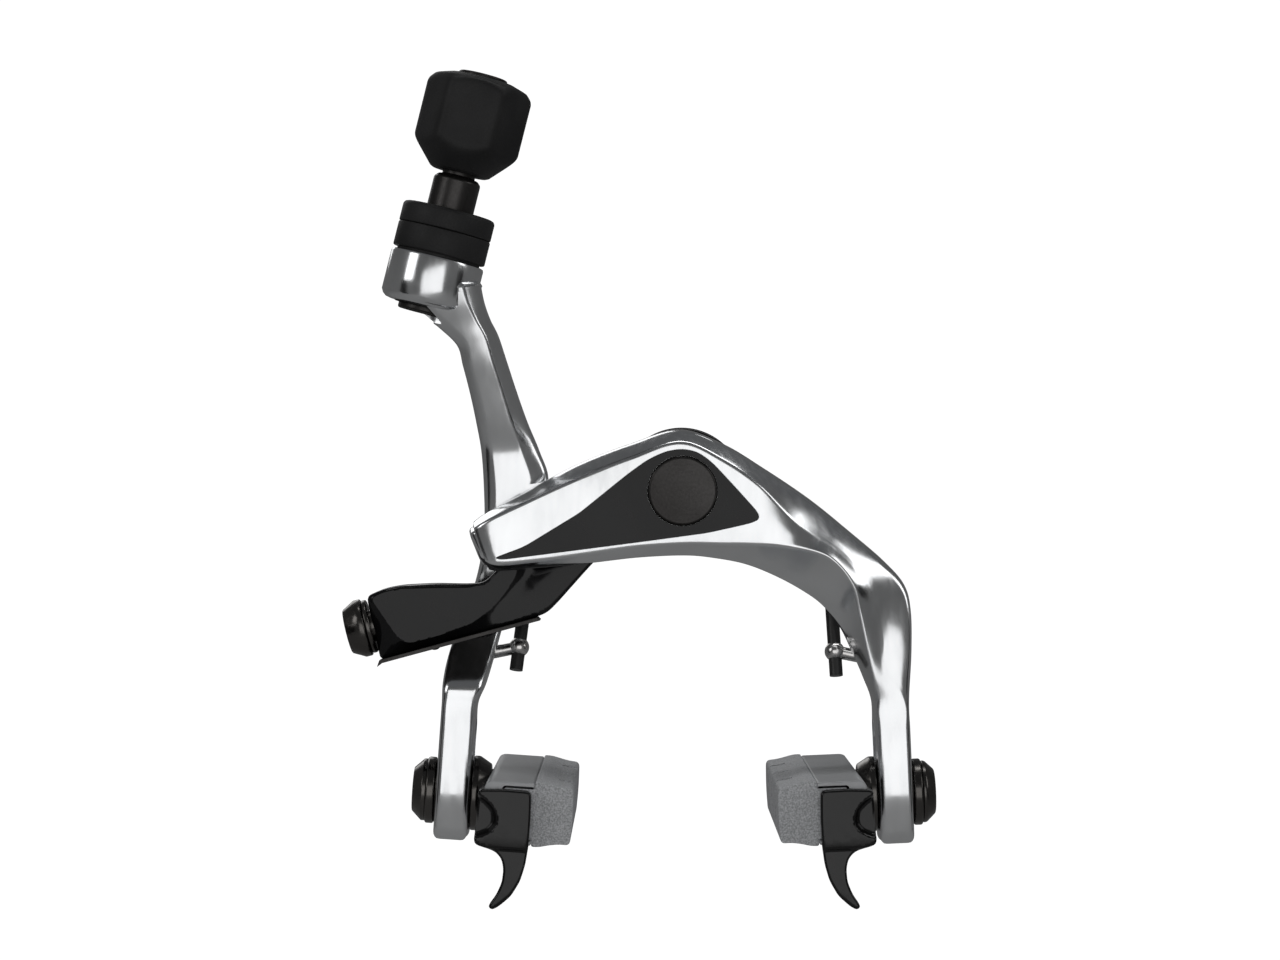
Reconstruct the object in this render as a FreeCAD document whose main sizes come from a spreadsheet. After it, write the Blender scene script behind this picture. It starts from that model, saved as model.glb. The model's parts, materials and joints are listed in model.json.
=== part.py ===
import FreeCAD, Part
import math
import os

import Sketcher

# A dual-pivot road rim brake caliper with a cam link, in millimetres.
#
# The origin is on the axis of the mounting stud, where its seat washer meets the fork.
# +Z is up, -Y is the front of the bicycle and the face a rider sees, +X is to the right
# when the caliper is seen from the front.  A height "out" of the pivot axis is counted
# along -Y, from the seat plane towards the front.

Vector = FreeCAD.Vector
Rotation = FreeCAD.Rotation
Placement = FreeCAD.Placement

doc = FreeCAD.newDocument("RimBrakeCaliper")
os.makedirs("parts", exist_ok=True)

# ---------------------------------------------------------------- driving dimensions

SIZES = {
    # mounting stud and the stack that turns on it
    "stud_radius": 3.0,
    "stud_length": 34.0,
    "journal_radius": 4.0,
    "seat_radius": 6.5,
    "seat_thick": 2.5,
    "collar_flats": 11.0,
    "collar_thick": 1.4,
    "spool_radius": 10.0,
    "spool_groove": 6.6,
    "spool_thick": 5.3,
    "washer_thick": 0.5,
    "washer_radius": 7.4,
    "hub_radius": 9.0,
    "rear_hub_thick": 5.5,
    "front_hub_thick": 6.5,
    "bushing_radius": 5.2,
    "running_gap": 0.03,
    "nut_flats": 8.0,
    "nut_thick": 2.2,
    "cap_radius": 5.4,
    "cap_height": 3.3,
    "cap_wall": 0.6,
    # return spring
    "wire_radius": 1.05,
    "eye_radius": 1.6,
    "eye_shank": 1.0,
    # cable adjuster
    "adjuster_tilt": 14.04,
    "cup_radius": 7.4,
    "cup_depth": 7.8,
    "spigot_radius": 5.0,
    "collar_radius": 7.35,
    "sleeve_radius": 3.72,
    "knob_flats": 14.9,
    "knob_low": 13.7,
    "knob_high": 28.9,
    "housing_radius": 2.55,
    "cable_radius": 1.0,
    # cam link
    "link_back": 13.8,
    "link_front": 21.5,
    "cam_back": 14.2,
    "cam_front": 18.3,
    "pin_radius": 1.8,
    "eye_outer": 3.4,
    "roller_radius": 2.4,
    "roller_pin": 1.2,
    "anchor_radius": 2.5,
    "anchor_head": 4.5,
    # arms and brake pads
    "reach_low": 49.0,
    "reach_high": 39.0,
    "leg_half": 2.65,
    "slot_half": 3.3,
    "pad_bolt": 2.9,
    "pad_length": 54.0,
    "left_tilt": 4.0,
    "right_tilt": 2.5,
}

sheet = doc.addObject("Spreadsheet::Sheet", "Dimensions")
for row, (alias, size) in enumerate(SIZES.items(), start=1):
    sheet.set(f"A{row}", alias)
    sheet.set(f"B{row}", str(size))
    sheet.setAlias(f"B{row}", alias)
doc.recompute()


class Dim:
    """A length that remembers the sheet cells it came from."""

    def __init__(self, size, text):
        self.size = size
        self.text = text

    def __add__(self, other):
        return Dim(self.size + size_of(other), f"({self.text} + {text_of(other)})")

    def __sub__(self, other):
        return Dim(self.size - size_of(other), f"({self.text} - {text_of(other)})")

    def __mul__(self, other):
        return Dim(self.size * size_of(other), f"({self.text} * {text_of(other)})")

    def __radd__(self, other):
        return Dim(size_of(other) + self.size, f"({text_of(other)} + {self.text})")

    def __rsub__(self, other):
        return Dim(size_of(other) - self.size, f"({text_of(other)} - {self.text})")

    __rmul__ = __mul__

    def __neg__(self):
        return Dim(-self.size, f"(0 - {self.text})")


def size_of(value):
    return value.size if isinstance(value, Dim) else float(value)


def text_of(value):
    return value.text if isinstance(value, Dim) else repr(float(value))


def cell(alias):
    return Dim(SIZES[alias], f"Dimensions.{alias}")


def bind(feature, prop, value):
    """Set a property, and tie it to the sheet when the value comes from it."""
    setattr(feature, prop, size_of(value))
    if isinstance(value, Dim):
        feature.setExpression(prop, value.text)


# ---------------------------------------------------------------- frames

def lean(degrees):
    """The turn about Y that leans +Z towards +X."""
    return Rotation(Vector(0, 1, 0), degrees)


def spot(x, out, z):
    """A point of the caliper, with its height out of the seat plane."""
    return Vector(x, -out, z)


OUTWARD = Rotation(Vector(1, 0, 0), 90)
PIVOT = Placement(Vector(0, 0, 0), OUTWARD)

ADJUSTER_AT = spot(-38.2, 14.5, 36.4)
ADJUSTER = Placement(ADJUSTER_AT, lean(SIZES["adjuster_tilt"]))

ANCHOR_AT = spot(-48.25, 17.5, -21.0)
ANCHOR = Placement(ANCHOR_AT, lean(-90 - SIZES["adjuster_tilt"]))

PAD_OUT = 13.0
LEFT_PAD_AT = spot(-35.75, PAD_OUT, -47.2)
RIGHT_PAD_AT = spot(33.3, PAD_OUT, -47.4)
LEFT_PAD = Placement(LEFT_PAD_AT, lean(90 + SIZES["left_tilt"]))
RIGHT_PAD = Placement(RIGHT_PAD_AT, lean(-90 - SIZES["right_tilt"]))

LINK_PIVOT = (-13.2, -5.6)
ROLLER = (-25.5, -7.5)
LEVER_PIVOT = (-43.5, -20.5)


def beside(place, x=0.0, y=0.0, z=0.0, turn=Rotation()):
    """A placement shifted, and then turned, within another."""
    return place * Placement(Vector(x, y, z), turn)


def out_at(x, z, out=0.0):
    """The pivot frame moved to a point of the front view."""
    return Placement(spot(x, out, z), OUTWARD)


# ---------------------------------------------------------------- building blocks

def plane_of(body, role):
    return [plane for plane in body.Origin.OriginFeatures if plane.Role == role][0]


def pin_corner(sketch, line, axis, value):
    """Hold one coordinate of the corner where a line starts."""
    kind, datum_axis = ("DistanceX", -2) if axis == 0 else ("DistanceY", -1)
    if not isinstance(value, Dim) and value == 0:
        sketch.addConstraint(Sketcher.Constraint("PointOnObject", line, 1, datum_axis))
        return
    rule = sketch.addConstraint(Sketcher.Constraint(kind, -1, 1, line, 1, size_of(value)))
    if isinstance(value, Dim):
        sketch.setExpression(f"Constraints[{rule}]", value.text)


def outline_sketch(body, role, corners, offset=0.0):
    """A closed outline of straight lines, every corner held to the sheet."""
    sketch = body.newObject("Sketcher::SketchObject", body.Name + "Outline")
    sketch.AttachmentSupport = [(plane_of(body, role), "")]
    sketch.MapMode = "FlatFace"
    sketch.AttachmentOffset = Placement(Vector(0, 0, offset), Rotation())
    points = [Vector(size_of(x), size_of(y), 0) for x, y in corners]
    count = len(points)
    for index, point in enumerate(points):
        sketch.addGeometry(Part.LineSegment(point, points[(index + 1) % count]))
    for index in range(count):
        sketch.addConstraint(Sketcher.Constraint("Coincident", index, 2, (index + 1) % count, 1))
    for index, corner in enumerate(corners):
        pin_corner(sketch, index, 0, corner[0])
        pin_corner(sketch, index, 1, corner[1])
    return sketch


def new_body(label, place):
    body = doc.addObject("PartDesign::Body", label)
    body.Label = label
    body.Placement = place
    return body


def turned(label, place, profile):
    """A lathe-turned piece: (radius, height) corners, turned about the local Z axis."""
    body = new_body(label, place)
    sketch = outline_sketch(body, "XZ_Plane", profile)
    spin = body.newObject("PartDesign::Revolution", label + "Turn")
    spin.Profile = (sketch, [""])
    spin.ReferenceAxis = (sketch, ["V_Axis"])
    spin.Angle = 360
    return body


def ring(label, place, bore, radius, low, high):
    """A plain turned ring."""
    return turned(label, place, [(bore, low), (radius, low), (radius, high), (bore, high)])


def add_pad(body, corners, low, thick):
    """Pad an outline of the local XY plane from a height, by a thickness."""
    sketch = outline_sketch(body, "XY_Plane", corners, size_of(low))
    pad = body.newObject("PartDesign::Pad", body.Name + "Pad")
    pad.Profile = (sketch, [""])
    bind(pad, "Length", thick)
    return pad


def plate(label, place, corners, low, thick):
    body = new_body(label, place)
    add_pad(body, corners, low, thick)
    return body


def add_socket(body, flats, high, depth, downward=True):
    """Pocket a hexagon socket into a face at a height."""
    sketch = outline_sketch(body, "XY_Plane", hexagon(flats), size_of(high))
    pocket = body.newObject("PartDesign::Pocket", body.Name + "Socket")
    pocket.Profile = (sketch, [""])
    pocket.Reversed = not downward
    bind(pocket, "Length", depth)
    return pocket


def extruded(label, place, corners, length):
    """A bar of constant section: corners in the local XZ plane, centred along Y."""
    body = new_body(label, place)
    sketch = outline_sketch(body, "XZ_Plane", corners)
    pad = body.newObject("PartDesign::Pad", label + "Pad")
    pad.Profile = (sketch, [""])
    pad.SideType = "Symmetric"
    bind(pad, "Length", length)
    return body


def hexagon(flats):
    """The corners of a hexagon, from its size across flats."""
    corner = flats * (1 / math.sqrt(3))
    angles = [math.radians(30 + 60 * step) for step in range(6)]
    return [(corner * math.cos(angle), corner * math.sin(angle)) for angle in angles]


def cylinder(label, place, radius, low, high):
    """A tool or a plain pin along the local Z axis."""
    item = doc.addObject("Part::Cylinder", label)
    item.Label = label
    bind(item, "Radius", radius)
    bind(item, "Height", high - low)
    item.Placement = beside(place, z=size_of(low))
    return item


def sphere(label, place, radius, height=0.0):
    item = doc.addObject("Part::Sphere", label)
    item.Label = label
    bind(item, "Radius", radius)
    item.Placement = beside(place, z=height)
    return item


def block(label, place, low, high):
    """A box between two corners of a frame."""
    item = doc.addObject("Part::Box", label)
    item.Label = label
    for prop, start, end in zip(("Length", "Width", "Height"), low, high):
        bind(item, prop, end - start)
    item.Placement = beside(place, *[size_of(value) for value in low])
    return item


def fuse(label, shapes):
    item = doc.addObject("Part::MultiFuse", label)
    item.Label = label
    item.Shapes = shapes
    return item


def common(label, shapes):
    item = doc.addObject("Part::MultiCommon", label)
    item.Label = label
    item.Shapes = shapes
    return item


def cut(label, base, tools):
    """The base with every tool taken away."""
    item = doc.addObject("Part::Cut", label)
    item.Label = label
    item.Base = base
    item.Tool = tools[0] if len(tools) == 1 else fuse(label + "_tools", tools)
    return item


nodes = {}


def keep(name, item):
    """Name a finished sub-part, so that it is checked and written."""
    item.Label = name
    nodes[name] = item
    return item


# ---------------------------------------------------------------- pivot stack

SEAT_TOP = cell("seat_thick")
COLLAR_TOP = SEAT_TOP + cell("collar_thick")
SPOOL_TOP = SEAT_TOP + cell("spool_thick")
REAR_HUB = SPOOL_TOP + 0.6
REAR_HUB_TOP = REAR_HUB + cell("rear_hub_thick")
FRONT_HUB = REAR_HUB_TOP + cell("washer_thick")
FRONT_HUB_TOP = FRONT_HUB + cell("front_hub_thick")
NUT_SEAT = FRONT_HUB_TOP + cell("washer_thick")
SPRING_OUT = 5.15

journal = cell("journal_radius")
stud = cell("stud_radius")
running_bore = journal + cell("running_gap")


def build_pivot():
    nut_thread = 2.5
    bolt = turned("mounting_bolt", PIVOT, [
        (0, -cell("stud_length")), (stud - 0.5, -cell("stud_length")),
        (stud, 0.5 - cell("stud_length")), (stud, 0.3), (journal, 0.3),
        (journal, NUT_SEAT), (nut_thread, NUT_SEAT),
        (nut_thread, NUT_SEAT + 1.8), (nut_thread - 0.2, NUT_SEAT + 2.0), (0, NUT_SEAT + 2.0)])
    add_pad(bolt, hexagon(cell("collar_flats")), SEAT_TOP, cell("collar_thick"))
    keep("mounting_bolt", bolt)

    edge = 0.4
    keep("seat_washer", turned("seat_washer", PIVOT, [
        (journal + 0.05, 0), (cell("seat_radius") - edge, 0), (cell("seat_radius"), edge),
        (cell("seat_radius"), SEAT_TOP - edge), (cell("seat_radius") - edge, SEAT_TOP),
        (journal + 0.05, SEAT_TOP)]))

    groove = cell("spool_groove")
    rim = cell("spool_radius")
    wire = cell("wire_radius")
    spool = turned("spring_spool", PIVOT, [
        (journal + 0.05, SEAT_TOP), (rim - edge, SEAT_TOP), (rim, SEAT_TOP + edge),
        (rim, SPRING_OUT - wire - 0.05), (groove, SPRING_OUT - wire - 0.05),
        (groove, SPRING_OUT + wire + 0.05), (rim, SPRING_OUT + wire + 0.05),
        (rim, SPOOL_TOP - edge), (rim - edge, SPOOL_TOP), (journal + 0.05, SPOOL_TOP)])
    add_socket(spool, cell("collar_flats") + 0.04, SEAT_TOP, cell("collar_thick"), downward=False)
    keep("spring_spool", spool)

    washer = cell("washer_radius")
    slip = journal + 0.05
    keep("rear_thrust_washer", ring("rear_thrust_washer", PIVOT, slip, washer, SPOOL_TOP, REAR_HUB))
    keep("middle_thrust_washer", ring("middle_thrust_washer", PIVOT, slip, washer, REAR_HUB_TOP, FRONT_HUB))
    keep("front_thrust_washer",
         ring("front_thrust_washer", PIVOT, slip, cell("bushing_radius"), FRONT_HUB_TOP, NUT_SEAT))
    bush = cell("bushing_radius")
    keep("rear_arm_bushing", ring("rear_arm_bushing", PIVOT, running_bore, bush, REAR_HUB, REAR_HUB_TOP))
    keep("front_arm_bushing",
         ring("front_arm_bushing", PIVOT, running_bore, bush, FRONT_HUB, FRONT_HUB_TOP))

    nut = plate("pivot_nut", PIVOT, hexagon(cell("nut_flats")), NUT_SEAT, cell("nut_thick"))
    nut_hole = cylinder("pivot_nut_thread", PIVOT, nut_thread, NUT_SEAT - 1, NUT_SEAT + 4)
    keep("pivot_nut", cut("pivot_nut_cut", nut, [nut_hole]))

    cap = cell("cap_radius")
    wall = cell("cap_wall")
    cap_top = FRONT_HUB_TOP + cell("cap_height")
    keep("pivot_cap", turned("pivot_cap", PIVOT, [
        (cap - wall, NUT_SEAT), (cap, NUT_SEAT), (cap, cap_top - 0.3), (cap - 0.3, cap_top),
        (0, cap_top), (0, cap_top - wall), (cap - wall, cap_top - wall)]))


# ---------------------------------------------------------------- arms

class Section:
    """One slice across an arm: its outer and inner edge in the front view, where the two
    front ridges stand between them (0 outer, 1 inner), and how far out its six corners are."""

    def __init__(self, outer, inner, ridges, outs):
        self.outer = outer
        self.inner = inner
        self.ridges = ridges
        self.outs = outs

    def point(self, part, out):
        x = self.outer[0] + part * (self.inner[0] - self.outer[0])
        z = self.outer[1] + part * (self.inner[1] - self.outer[1])
        return spot(x, out, z)

    def wire(self):
        parts = (0, 0, self.ridges[0], self.ridges[1], 1, 1)
        corners = [self.point(part, out) for part, out in zip(parts, self.outs)]
        return Part.makePolygon(corners + corners[:1])


def lofted(label, sections):
    """The solid through a row of slices."""
    item = doc.addObject("Part::Feature", label)
    item.Label = label
    item.Shape = Part.makeLoft([section.wire() for section in sections], True, True)
    return item


def leg_point(centre, tilt, side, height, across):
    """A point of the flat lower leg, whose faces are square to the pad bolt."""
    drop = height - centre.z
    x = centre.x - side * drop * math.tan(math.radians(tilt))
    slope = math.radians(tilt)
    return (x + across * math.cos(slope), height - side * -across * math.sin(slope))


def leg_section(centre, tilt, side, height, outs, outward):
    """A slice of the flat lower leg; outward is the sign of X at its outer edge."""
    half = SIZES["leg_half"]
    outer = leg_point(centre, tilt, side, height, outward * half)
    inner = leg_point(centre, tilt, side, height, -outward * half)
    return Section(outer, inner, (0.12, 0.9), outs)


FLAT_LEG = (6.5, 19.3, 19.5, 19.5, 19.3, 6.5)


def slot_tools(label, place, below, above):
    """The slot that the pad bolt slides in, cut square through a leg."""
    half = cell("slot_half")
    reach = 7.0
    side = 1 if place is LEFT_PAD else -1
    ends = [side * below, -side * above]
    tools = [cylinder(f"{label}_end_{index}", beside(place, x=end), half, -reach, reach)
             for index, end in enumerate(ends)]
    low = (min(ends), -half, -reach)
    high = (max(ends), half, reach)
    tools.append(block(f"{label}_middle", place, low, high))
    return tools


def front_arm_sections():
    hub = (14.5, 20.3, 24.0, 23.8, 21.0, 14.5)
    return [
        Section((-33.4, -5.8), (-31.0, -11.8), (0.14, 0.80), (15.2, 18.2, 20.6, 20.6, 19.2, 15.2)),
        Section((-31.7, -4.2), (-29.3, -12.4), (0.13, 0.86), (14.8, 18.2, 21.7, 21.7, 20.2, 14.8)),
        Section((-24.2, -0.1), (-23.0, -12.0), (0.13, 0.91), (14.6, 18.8, 22.3, 22.2, 20.6, 14.6)),
        Section((-16.5, 4.0), (-14.5, -11.2), (0.14, 0.91), (14.5, 19.5, 23.0, 22.8, 20.8, 14.5)),
        Section((-8.0, 7.3), (-6.6, -10.3), (0.12, 0.91), hub),
        Section((0.0, 9.5), (0.8, -10.0), (0.10, 0.91), hub),
        Section((6.5, 7.2), (5.0, -10.4), (0.14, 0.88), hub),
        Section((12.5, 3.6), (9.6, -11.3), (0.19, 0.80), (14.5, 20.0, 23.8, 23.8, 20.0, 14.5)),
        Section((19.8, -1.3), (14.2, -13.1), (0.34, 0.62), (14.0, 19.0, 22.6, 23.5, 18.0, 14.0)),
        Section((25.9, -6.2), (18.5, -15.4), (0.29, 0.44), (13.0, 18.2, 21.4, 23.0, 16.0, 13.0)),
        Section((31.6, -11.1), (22.0, -17.9), (0.36, 0.54), (11.0, 17.8, 20.8, 22.2, 14.5, 12.0)),
        Section((34.6, -14.6), (24.6, -21.0), (0.48, 0.72), (9.0, 18.2, 20.4, 21.4, 13.5, 10.8)),
        Section((35.6, -18.5), (26.9, -25.5), (0.55, 0.82), (7.5, 18.8, 20.0, 20.7, 13.2, 9.0)),
        Section((35.7, -25.0), (28.7, -29.5), (0.60, 0.88), (6.7, 19.2, 19.8, 20.1, 15.0, 7.6)),
        leg_section(RIGHT_PAD_AT, SIZES["right_tilt"], 1, -33.0, FLAT_LEG, 1),
        leg_section(RIGHT_PAD_AT, SIZES["right_tilt"], 1, -55.0, FLAT_LEG, 1),
    ]


def rear_arm_sections():
    return [
        Section((-43.0, 31.0), (-30.3, 32.8), (0.22, 0.78), (8.5, 18.5, 20.5, 20.5, 18.0, 8.5)),
        Section((-41.0, 28.0), (-30.3, 29.5), (0.22, 0.78), (9.0, 18.0, 19.8, 19.8, 17.5, 9.0)),
        Section((-37.8, 25.4), (-29.8, 27.0), (0.22, 0.76), (9.3, 17.2, 19.0, 19.0, 16.6, 9.3)),
        Section((-35.2, 22.8), (-28.9, 24.4), (0.22, 0.74), (9.3, 16.4, 18.4, 18.4, 15.6, 9.3)),
        Section((-34.3, 19.6), (-27.5, 20.2), (0.20, 0.72), (9.2, 15.6, 17.6, 17.6, 14.6, 9.2)),
        Section((-33.2, 15.2), (-26.0, 15.6), (0.20, 0.72), (9.0, 14.8, 16.4, 16.4, 13.6, 9.0)),
        Section((-32.3, 10.8), (-24.3, 10.8), (0.20, 0.70), (8.8, 13.8, 15.2, 15.2, 12.8, 8.8)),
        Section((-31.5, 6.0), (-22.4, 6.2), (0.18, 0.70), (8.6, 12.8, 13.8, 13.8, 12.2, 8.6)),
        Section((-31.1, -0.5), (-21.0, 1.5), (0.18, 0.72), (8.4, 12.6, 13.5, 13.5, 12.4, 8.4)),
        Section((-31.1, -6.0), (-22.5, -5.6), (0.18, 0.76), (8.4, 12.6, 13.3, 13.3, 12.6, 8.4)),
        Section((-31.8, -11.5), (-25.2, -12.5), (0.18, 0.80), (8.4, 12.6, 13.3, 13.3, 12.6, 8.4)),
        Section((-33.2, -16.5), (-27.3, -18.0), (0.18, 0.82), (8.0, 12.6, 13.3, 13.3, 12.6, 8.0)),
        Section((-35.2, -21.5), (-28.6, -22.6), (0.18, 0.82), (7.4, 12.6, 13.2, 13.2, 12.6, 7.4)),
        Section((-36.7, -26.4), (-29.8, -26.8), (0.16, 0.84), (6.8, 13.4, 14.2, 14.2, 13.4, 6.8)),
        Section((-37.3, -30.2), (-31.0, -30.6), (0.14, 0.86), (6.5, 18.6, 19.3, 19.3, 18.6, 6.5)),
        leg_section(LEFT_PAD_AT, SIZES["left_tilt"], -1, -33.0, FLAT_LEG, -1),
        leg_section(LEFT_PAD_AT, SIZES["left_tilt"], -1, -54.4, FLAT_LEG, -1),
    ]


def prism(label, corners, low, high):
    """A plate in the pivot frame between two heights out of the seat plane."""
    return plate(label, PIVOT, corners, low, high - low)


def panel_recess():
    """The shallow black-finished recess of the front arm, its floor following the face."""
    outline = [(-29.3, -10.4), (-24.5, -8.6), (-16.0, -3.4), (-8.6, 2.6), (-5.4, 4.9), (-2.6, 6.2),
               (0.0, 6.6), (2.4, 6.1), (4.6, 4.5), (8.6, 0.2), (11.8, -3.4), (11.9, -4.4),
               (10.6, -5.0), (4.0, -6.5), (-6.0, -7.9), (-17.0, -9.3), (-28.0, -10.7)]
    reach = prism("panel_outline", outline, 18.0, 27.0)
    # seen from above, (x, out): the floor rises to the right, then stays level
    floor = [(-34.0, 20.9), (0.0, 22.9), (14.0, 23.1), (14.0, 27.0), (-34.0, 27.0)]
    rise = new_body("panel_floor", Placement(Vector(0, 0, -20), Rotation()))
    add_pad(rise, [(x, -out) for x, out in floor], 0.0, 40.0)
    return common("panel_recess", [reach, rise])


def link_pocket():
    """The hollow behind the front arm's left half, where the cam link moves."""
    outline = [(-36.0, -16.0), (-36.0, -8.2), (-29.4, -8.2), (-29.4, -4.7), (-23.0, -3.0),
               (-17.2, -0.9), (-11.0, 1.2),
               (-8.0, -1.0), (-8.0, -6.2), (-6.4, -16.0)]
    hollow = prism("link_pocket_outline", outline, 10.0, 18.5)
    hub_left = cylinder("link_pocket_hub", PIVOT, 9.9, 9.0, 20.0)
    return cut("link_pocket", hollow, [hub_left])


def eye_direction(side):
    """From the ball of a spring eye to the leg that holds it."""
    return Vector(side * 0.98, 0, -0.2).normalize()


EYES = {"left": spot(-25.65, 9.6, -24.7), "right": spot(24.19, 9.6, -25.4)}


def eye_frame(side):
    sign = -1 if side == "left" else 1
    return Placement(EYES[side], Rotation(Vector(0, 0, 1), eye_direction(sign)))


def build_front_arm():
    blank = lofted("front_arm_blank", front_arm_sections())
    hub = cylinder("front_arm_hub", PIVOT, cell("hub_radius"), FRONT_HUB, FRONT_HUB_TOP)
    body = fuse("front_arm_body", [blank, hub])
    tools = [
        cylinder("front_arm_bore", PIVOT, cell("bushing_radius"), FRONT_HUB - 5, FRONT_HUB_TOP + 8),
        cylinder("cap_pocket", PIVOT, cell("cap_radius") + 0.3, FRONT_HUB_TOP, FRONT_HUB_TOP + 8),
        panel_recess(),
        link_pocket(),
        cylinder("roller_pin_hole", out_at(*ROLLER), cell("roller_pin"), 14, 20.3),
        cylinder("right_eye_hole", eye_frame("right"), cell("eye_shank"), 1.0, 6.5),
    ]
    tools += slot_tools("right_slot", RIGHT_PAD, 1.8, 8.2)
    keep("front_arm", cut("front_arm", body, tools))


def build_rear_arm():
    bar = lofted("rear_arm_bar", rear_arm_sections())
    web_corners = [(-1.5, 8.6), (-4.5, 7.7), (-11.0, 5.1), (-20.0, 1.6), (-27.0, 0.5),
                   (-27.5, -9.5), (-24.8, -11.6), (-15.0, -10.0), (-1.5, -8.6)]
    web = prism("rear_arm_web", web_corners, REAR_HUB, REAR_HUB_TOP - 0.4)
    hub = cylinder("rear_arm_hub", PIVOT, cell("hub_radius"), REAR_HUB, REAR_HUB_TOP)
    cup = turned("adjuster_cup", ADJUSTER, [
        (0, -cell("cup_depth")), (cell("cup_radius") - 0.9, -cell("cup_depth")),
        (cell("cup_radius"), 0.9 - cell("cup_depth")), (cell("cup_radius"), -0.3),
        (cell("cup_radius") - 0.3, 0), (0, 0)])
    body = fuse("rear_arm_body", [bar, web, hub, cup])
    tools = [
        cylinder("rear_arm_bore", PIVOT, cell("bushing_radius"), REAR_HUB - 5, REAR_HUB_TOP + 8),
        cylinder("adjuster_bore", ADJUSTER, cell("spigot_radius"), -cell("cup_depth") - 2.0, Dim(2.0, "2")),
        cylinder("cable_way", ADJUSTER, 2.4, -16.0, 0.0),
        cylinder("link_pin_hole", out_at(*LINK_PIVOT), cell("pin_radius"), 6, 16),
        cylinder("left_eye_hole", eye_frame("left"), cell("eye_shank"), 1.0, 6.5),
    ]
    tools += slot_tools("left_slot", LEFT_PAD, 1.8, 8.2)
    keep("rear_arm", cut("rear_arm", body, tools))


# ---------------------------------------------------------------- cam link

CAM_LOW = (-28.0, -11.42)
CAM_HIGH = (-19.0, -7.15)


def base_height(x):
    """The straight lower edge of the link, where its base plate lies."""
    return -19.6 + 0.27 * (x + 22.5)


def build_link():
    back = cell("link_back")
    front = cell("link_front")
    shell = prism("link_shell", [
        (-49.4, -16.4), (-48.4, -15.6), (-43.8, -14.8), (-39.4, -14.5), (-35.6, -14.8),
        (-31.5, -15.9), (-29.0, -17.0), (-26.8, -18.8), (-25.6, base_height(-25.6)),
        (-46.95, base_height(-46.95))], back, front)
    cam = prism("link_cam", [
        (-33.0, -17.4), (-30.5, -15.0), CAM_LOW, CAM_HIGH, (-15.6, -3.2), (-11.2, -8.3), (-14.4, -11.8),
        (-17.8, -15.3), (-19.8, -17.9), (-22.7, base_height(-22.7)), (-33.0, base_height(-33.0))],
        cell("cam_back"), cell("cam_front"))
    eye = cylinder("link_eye", out_at(*LINK_PIVOT), cell("eye_outer"), cell("cam_back"), cell("cam_front"))
    body = fuse("link_solid", [shell, cam, eye])
    tools = [
        cylinder("link_eye_bore", out_at(*LINK_PIVOT), cell("pin_radius") + cell("running_gap"), 10, 20),
        cylinder("link_eye_seat", out_at(*LINK_PIVOT), 2.75, 17.4, 20),
        cylinder("anchor_hole", ANCHOR, cell("anchor_radius"), -9.2, 2.0),
        cylinder("lever_pin_hole", out_at(*LEVER_PIVOT), 1.5, 12, 14.9),
    ]
    keep("link_body", cut("link_body", body, tools))

    keep("link_base_plate", prism("link_base_plate", [
        (-22.5, base_height(-22.5)), (-46.9, base_height(-46.9)), (-47.3, base_height(-47.3) - 1.0),
        (-46.6, base_height(-46.6) - 0.6), (-22.0, base_height(-22.0) - 0.6)], 14.6, 21.3))

    pin = turned("link_pivot_pin", out_at(*LINK_PIVOT), [
        (0, REAR_HUB), (cell("pin_radius"), REAR_HUB), (cell("pin_radius"), 17.5), (2.65, 17.5),
        (2.65, cell("cam_front") - 0.2), (2.45, cell("cam_front")), (0, cell("cam_front"))])
    keep("link_pivot_pin", pin)

    keep("cam_roller_pin", turned("cam_roller_pin", out_at(*ROLLER), [
        (0, 14.0), (1.8, 14.0), (1.8, 14.5), (cell("roller_pin"), 14.5), (cell("roller_pin"), 20.3),
        (0, 20.3)]))
    roller = cell("roller_radius")
    roller_bore = cell("roller_pin") + cell("running_gap")
    keep("cam_roller", turned("cam_roller", out_at(*ROLLER), [
        (roller_bore, 14.7), (roller - 0.3, 14.7), (roller, 15.0), (roller, 18.0),
        (roller - 0.3, 18.3), (roller_bore, 18.3)]))


def build_anchor():
    head = cell("anchor_head")
    shank = cell("anchor_radius")
    bolt = turned("cable_anchor_bolt", ANCHOR, [
        (0, -9.0), (shank - 0.4, -9.0), (shank, -8.6), (shank, 0.9), (head, 0.9), (head, 2.0),
        (head - 1.1, 4.0), (0, 4.0)])
    add_socket(bolt, 4.0, 4.0, 2.4)
    keep("cable_anchor_bolt", bolt)
    keep("cable_clamp_washer", turned("cable_clamp_washer", ANCHOR, [
        (shank + 0.05, 0), (4.0, 0), (4.2, 0.2), (4.2, 0.7), (4.0, 0.9), (shank + 0.05, 0.9)]))


def build_lever():
    lever_at = out_at(*LEVER_PIVOT)
    blade = plate("lever_blade", lever_at, [
        (-1.2, -2.6), (1.0, -3.1), (4.6, -4.6), (5.5, -4.3), (5.7, -3.3), (4.6, -1.6), (2.4, 1.6),
        (-0.6, 2.6)], 11.5, 2.0)
    boss = cylinder("lever_boss", lever_at, 3.1, 11.5, 13.5)
    body = fuse("lever_solid", [blade, boss])
    bore = cylinder("lever_bore", lever_at, 1.5 + cell("running_gap"), 10, 15)
    keep("quick_release_lever", cut("quick_release_lever", body, [bore]))
    keep("quick_release_pin", turned("quick_release_pin", lever_at, [
        (0, 10.6), (2.0, 10.6), (2.3, 10.9), (2.3, 11.4), (1.5, 11.4), (1.5, 14.9), (0, 14.9)]))


# ---------------------------------------------------------------- cable adjuster

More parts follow.
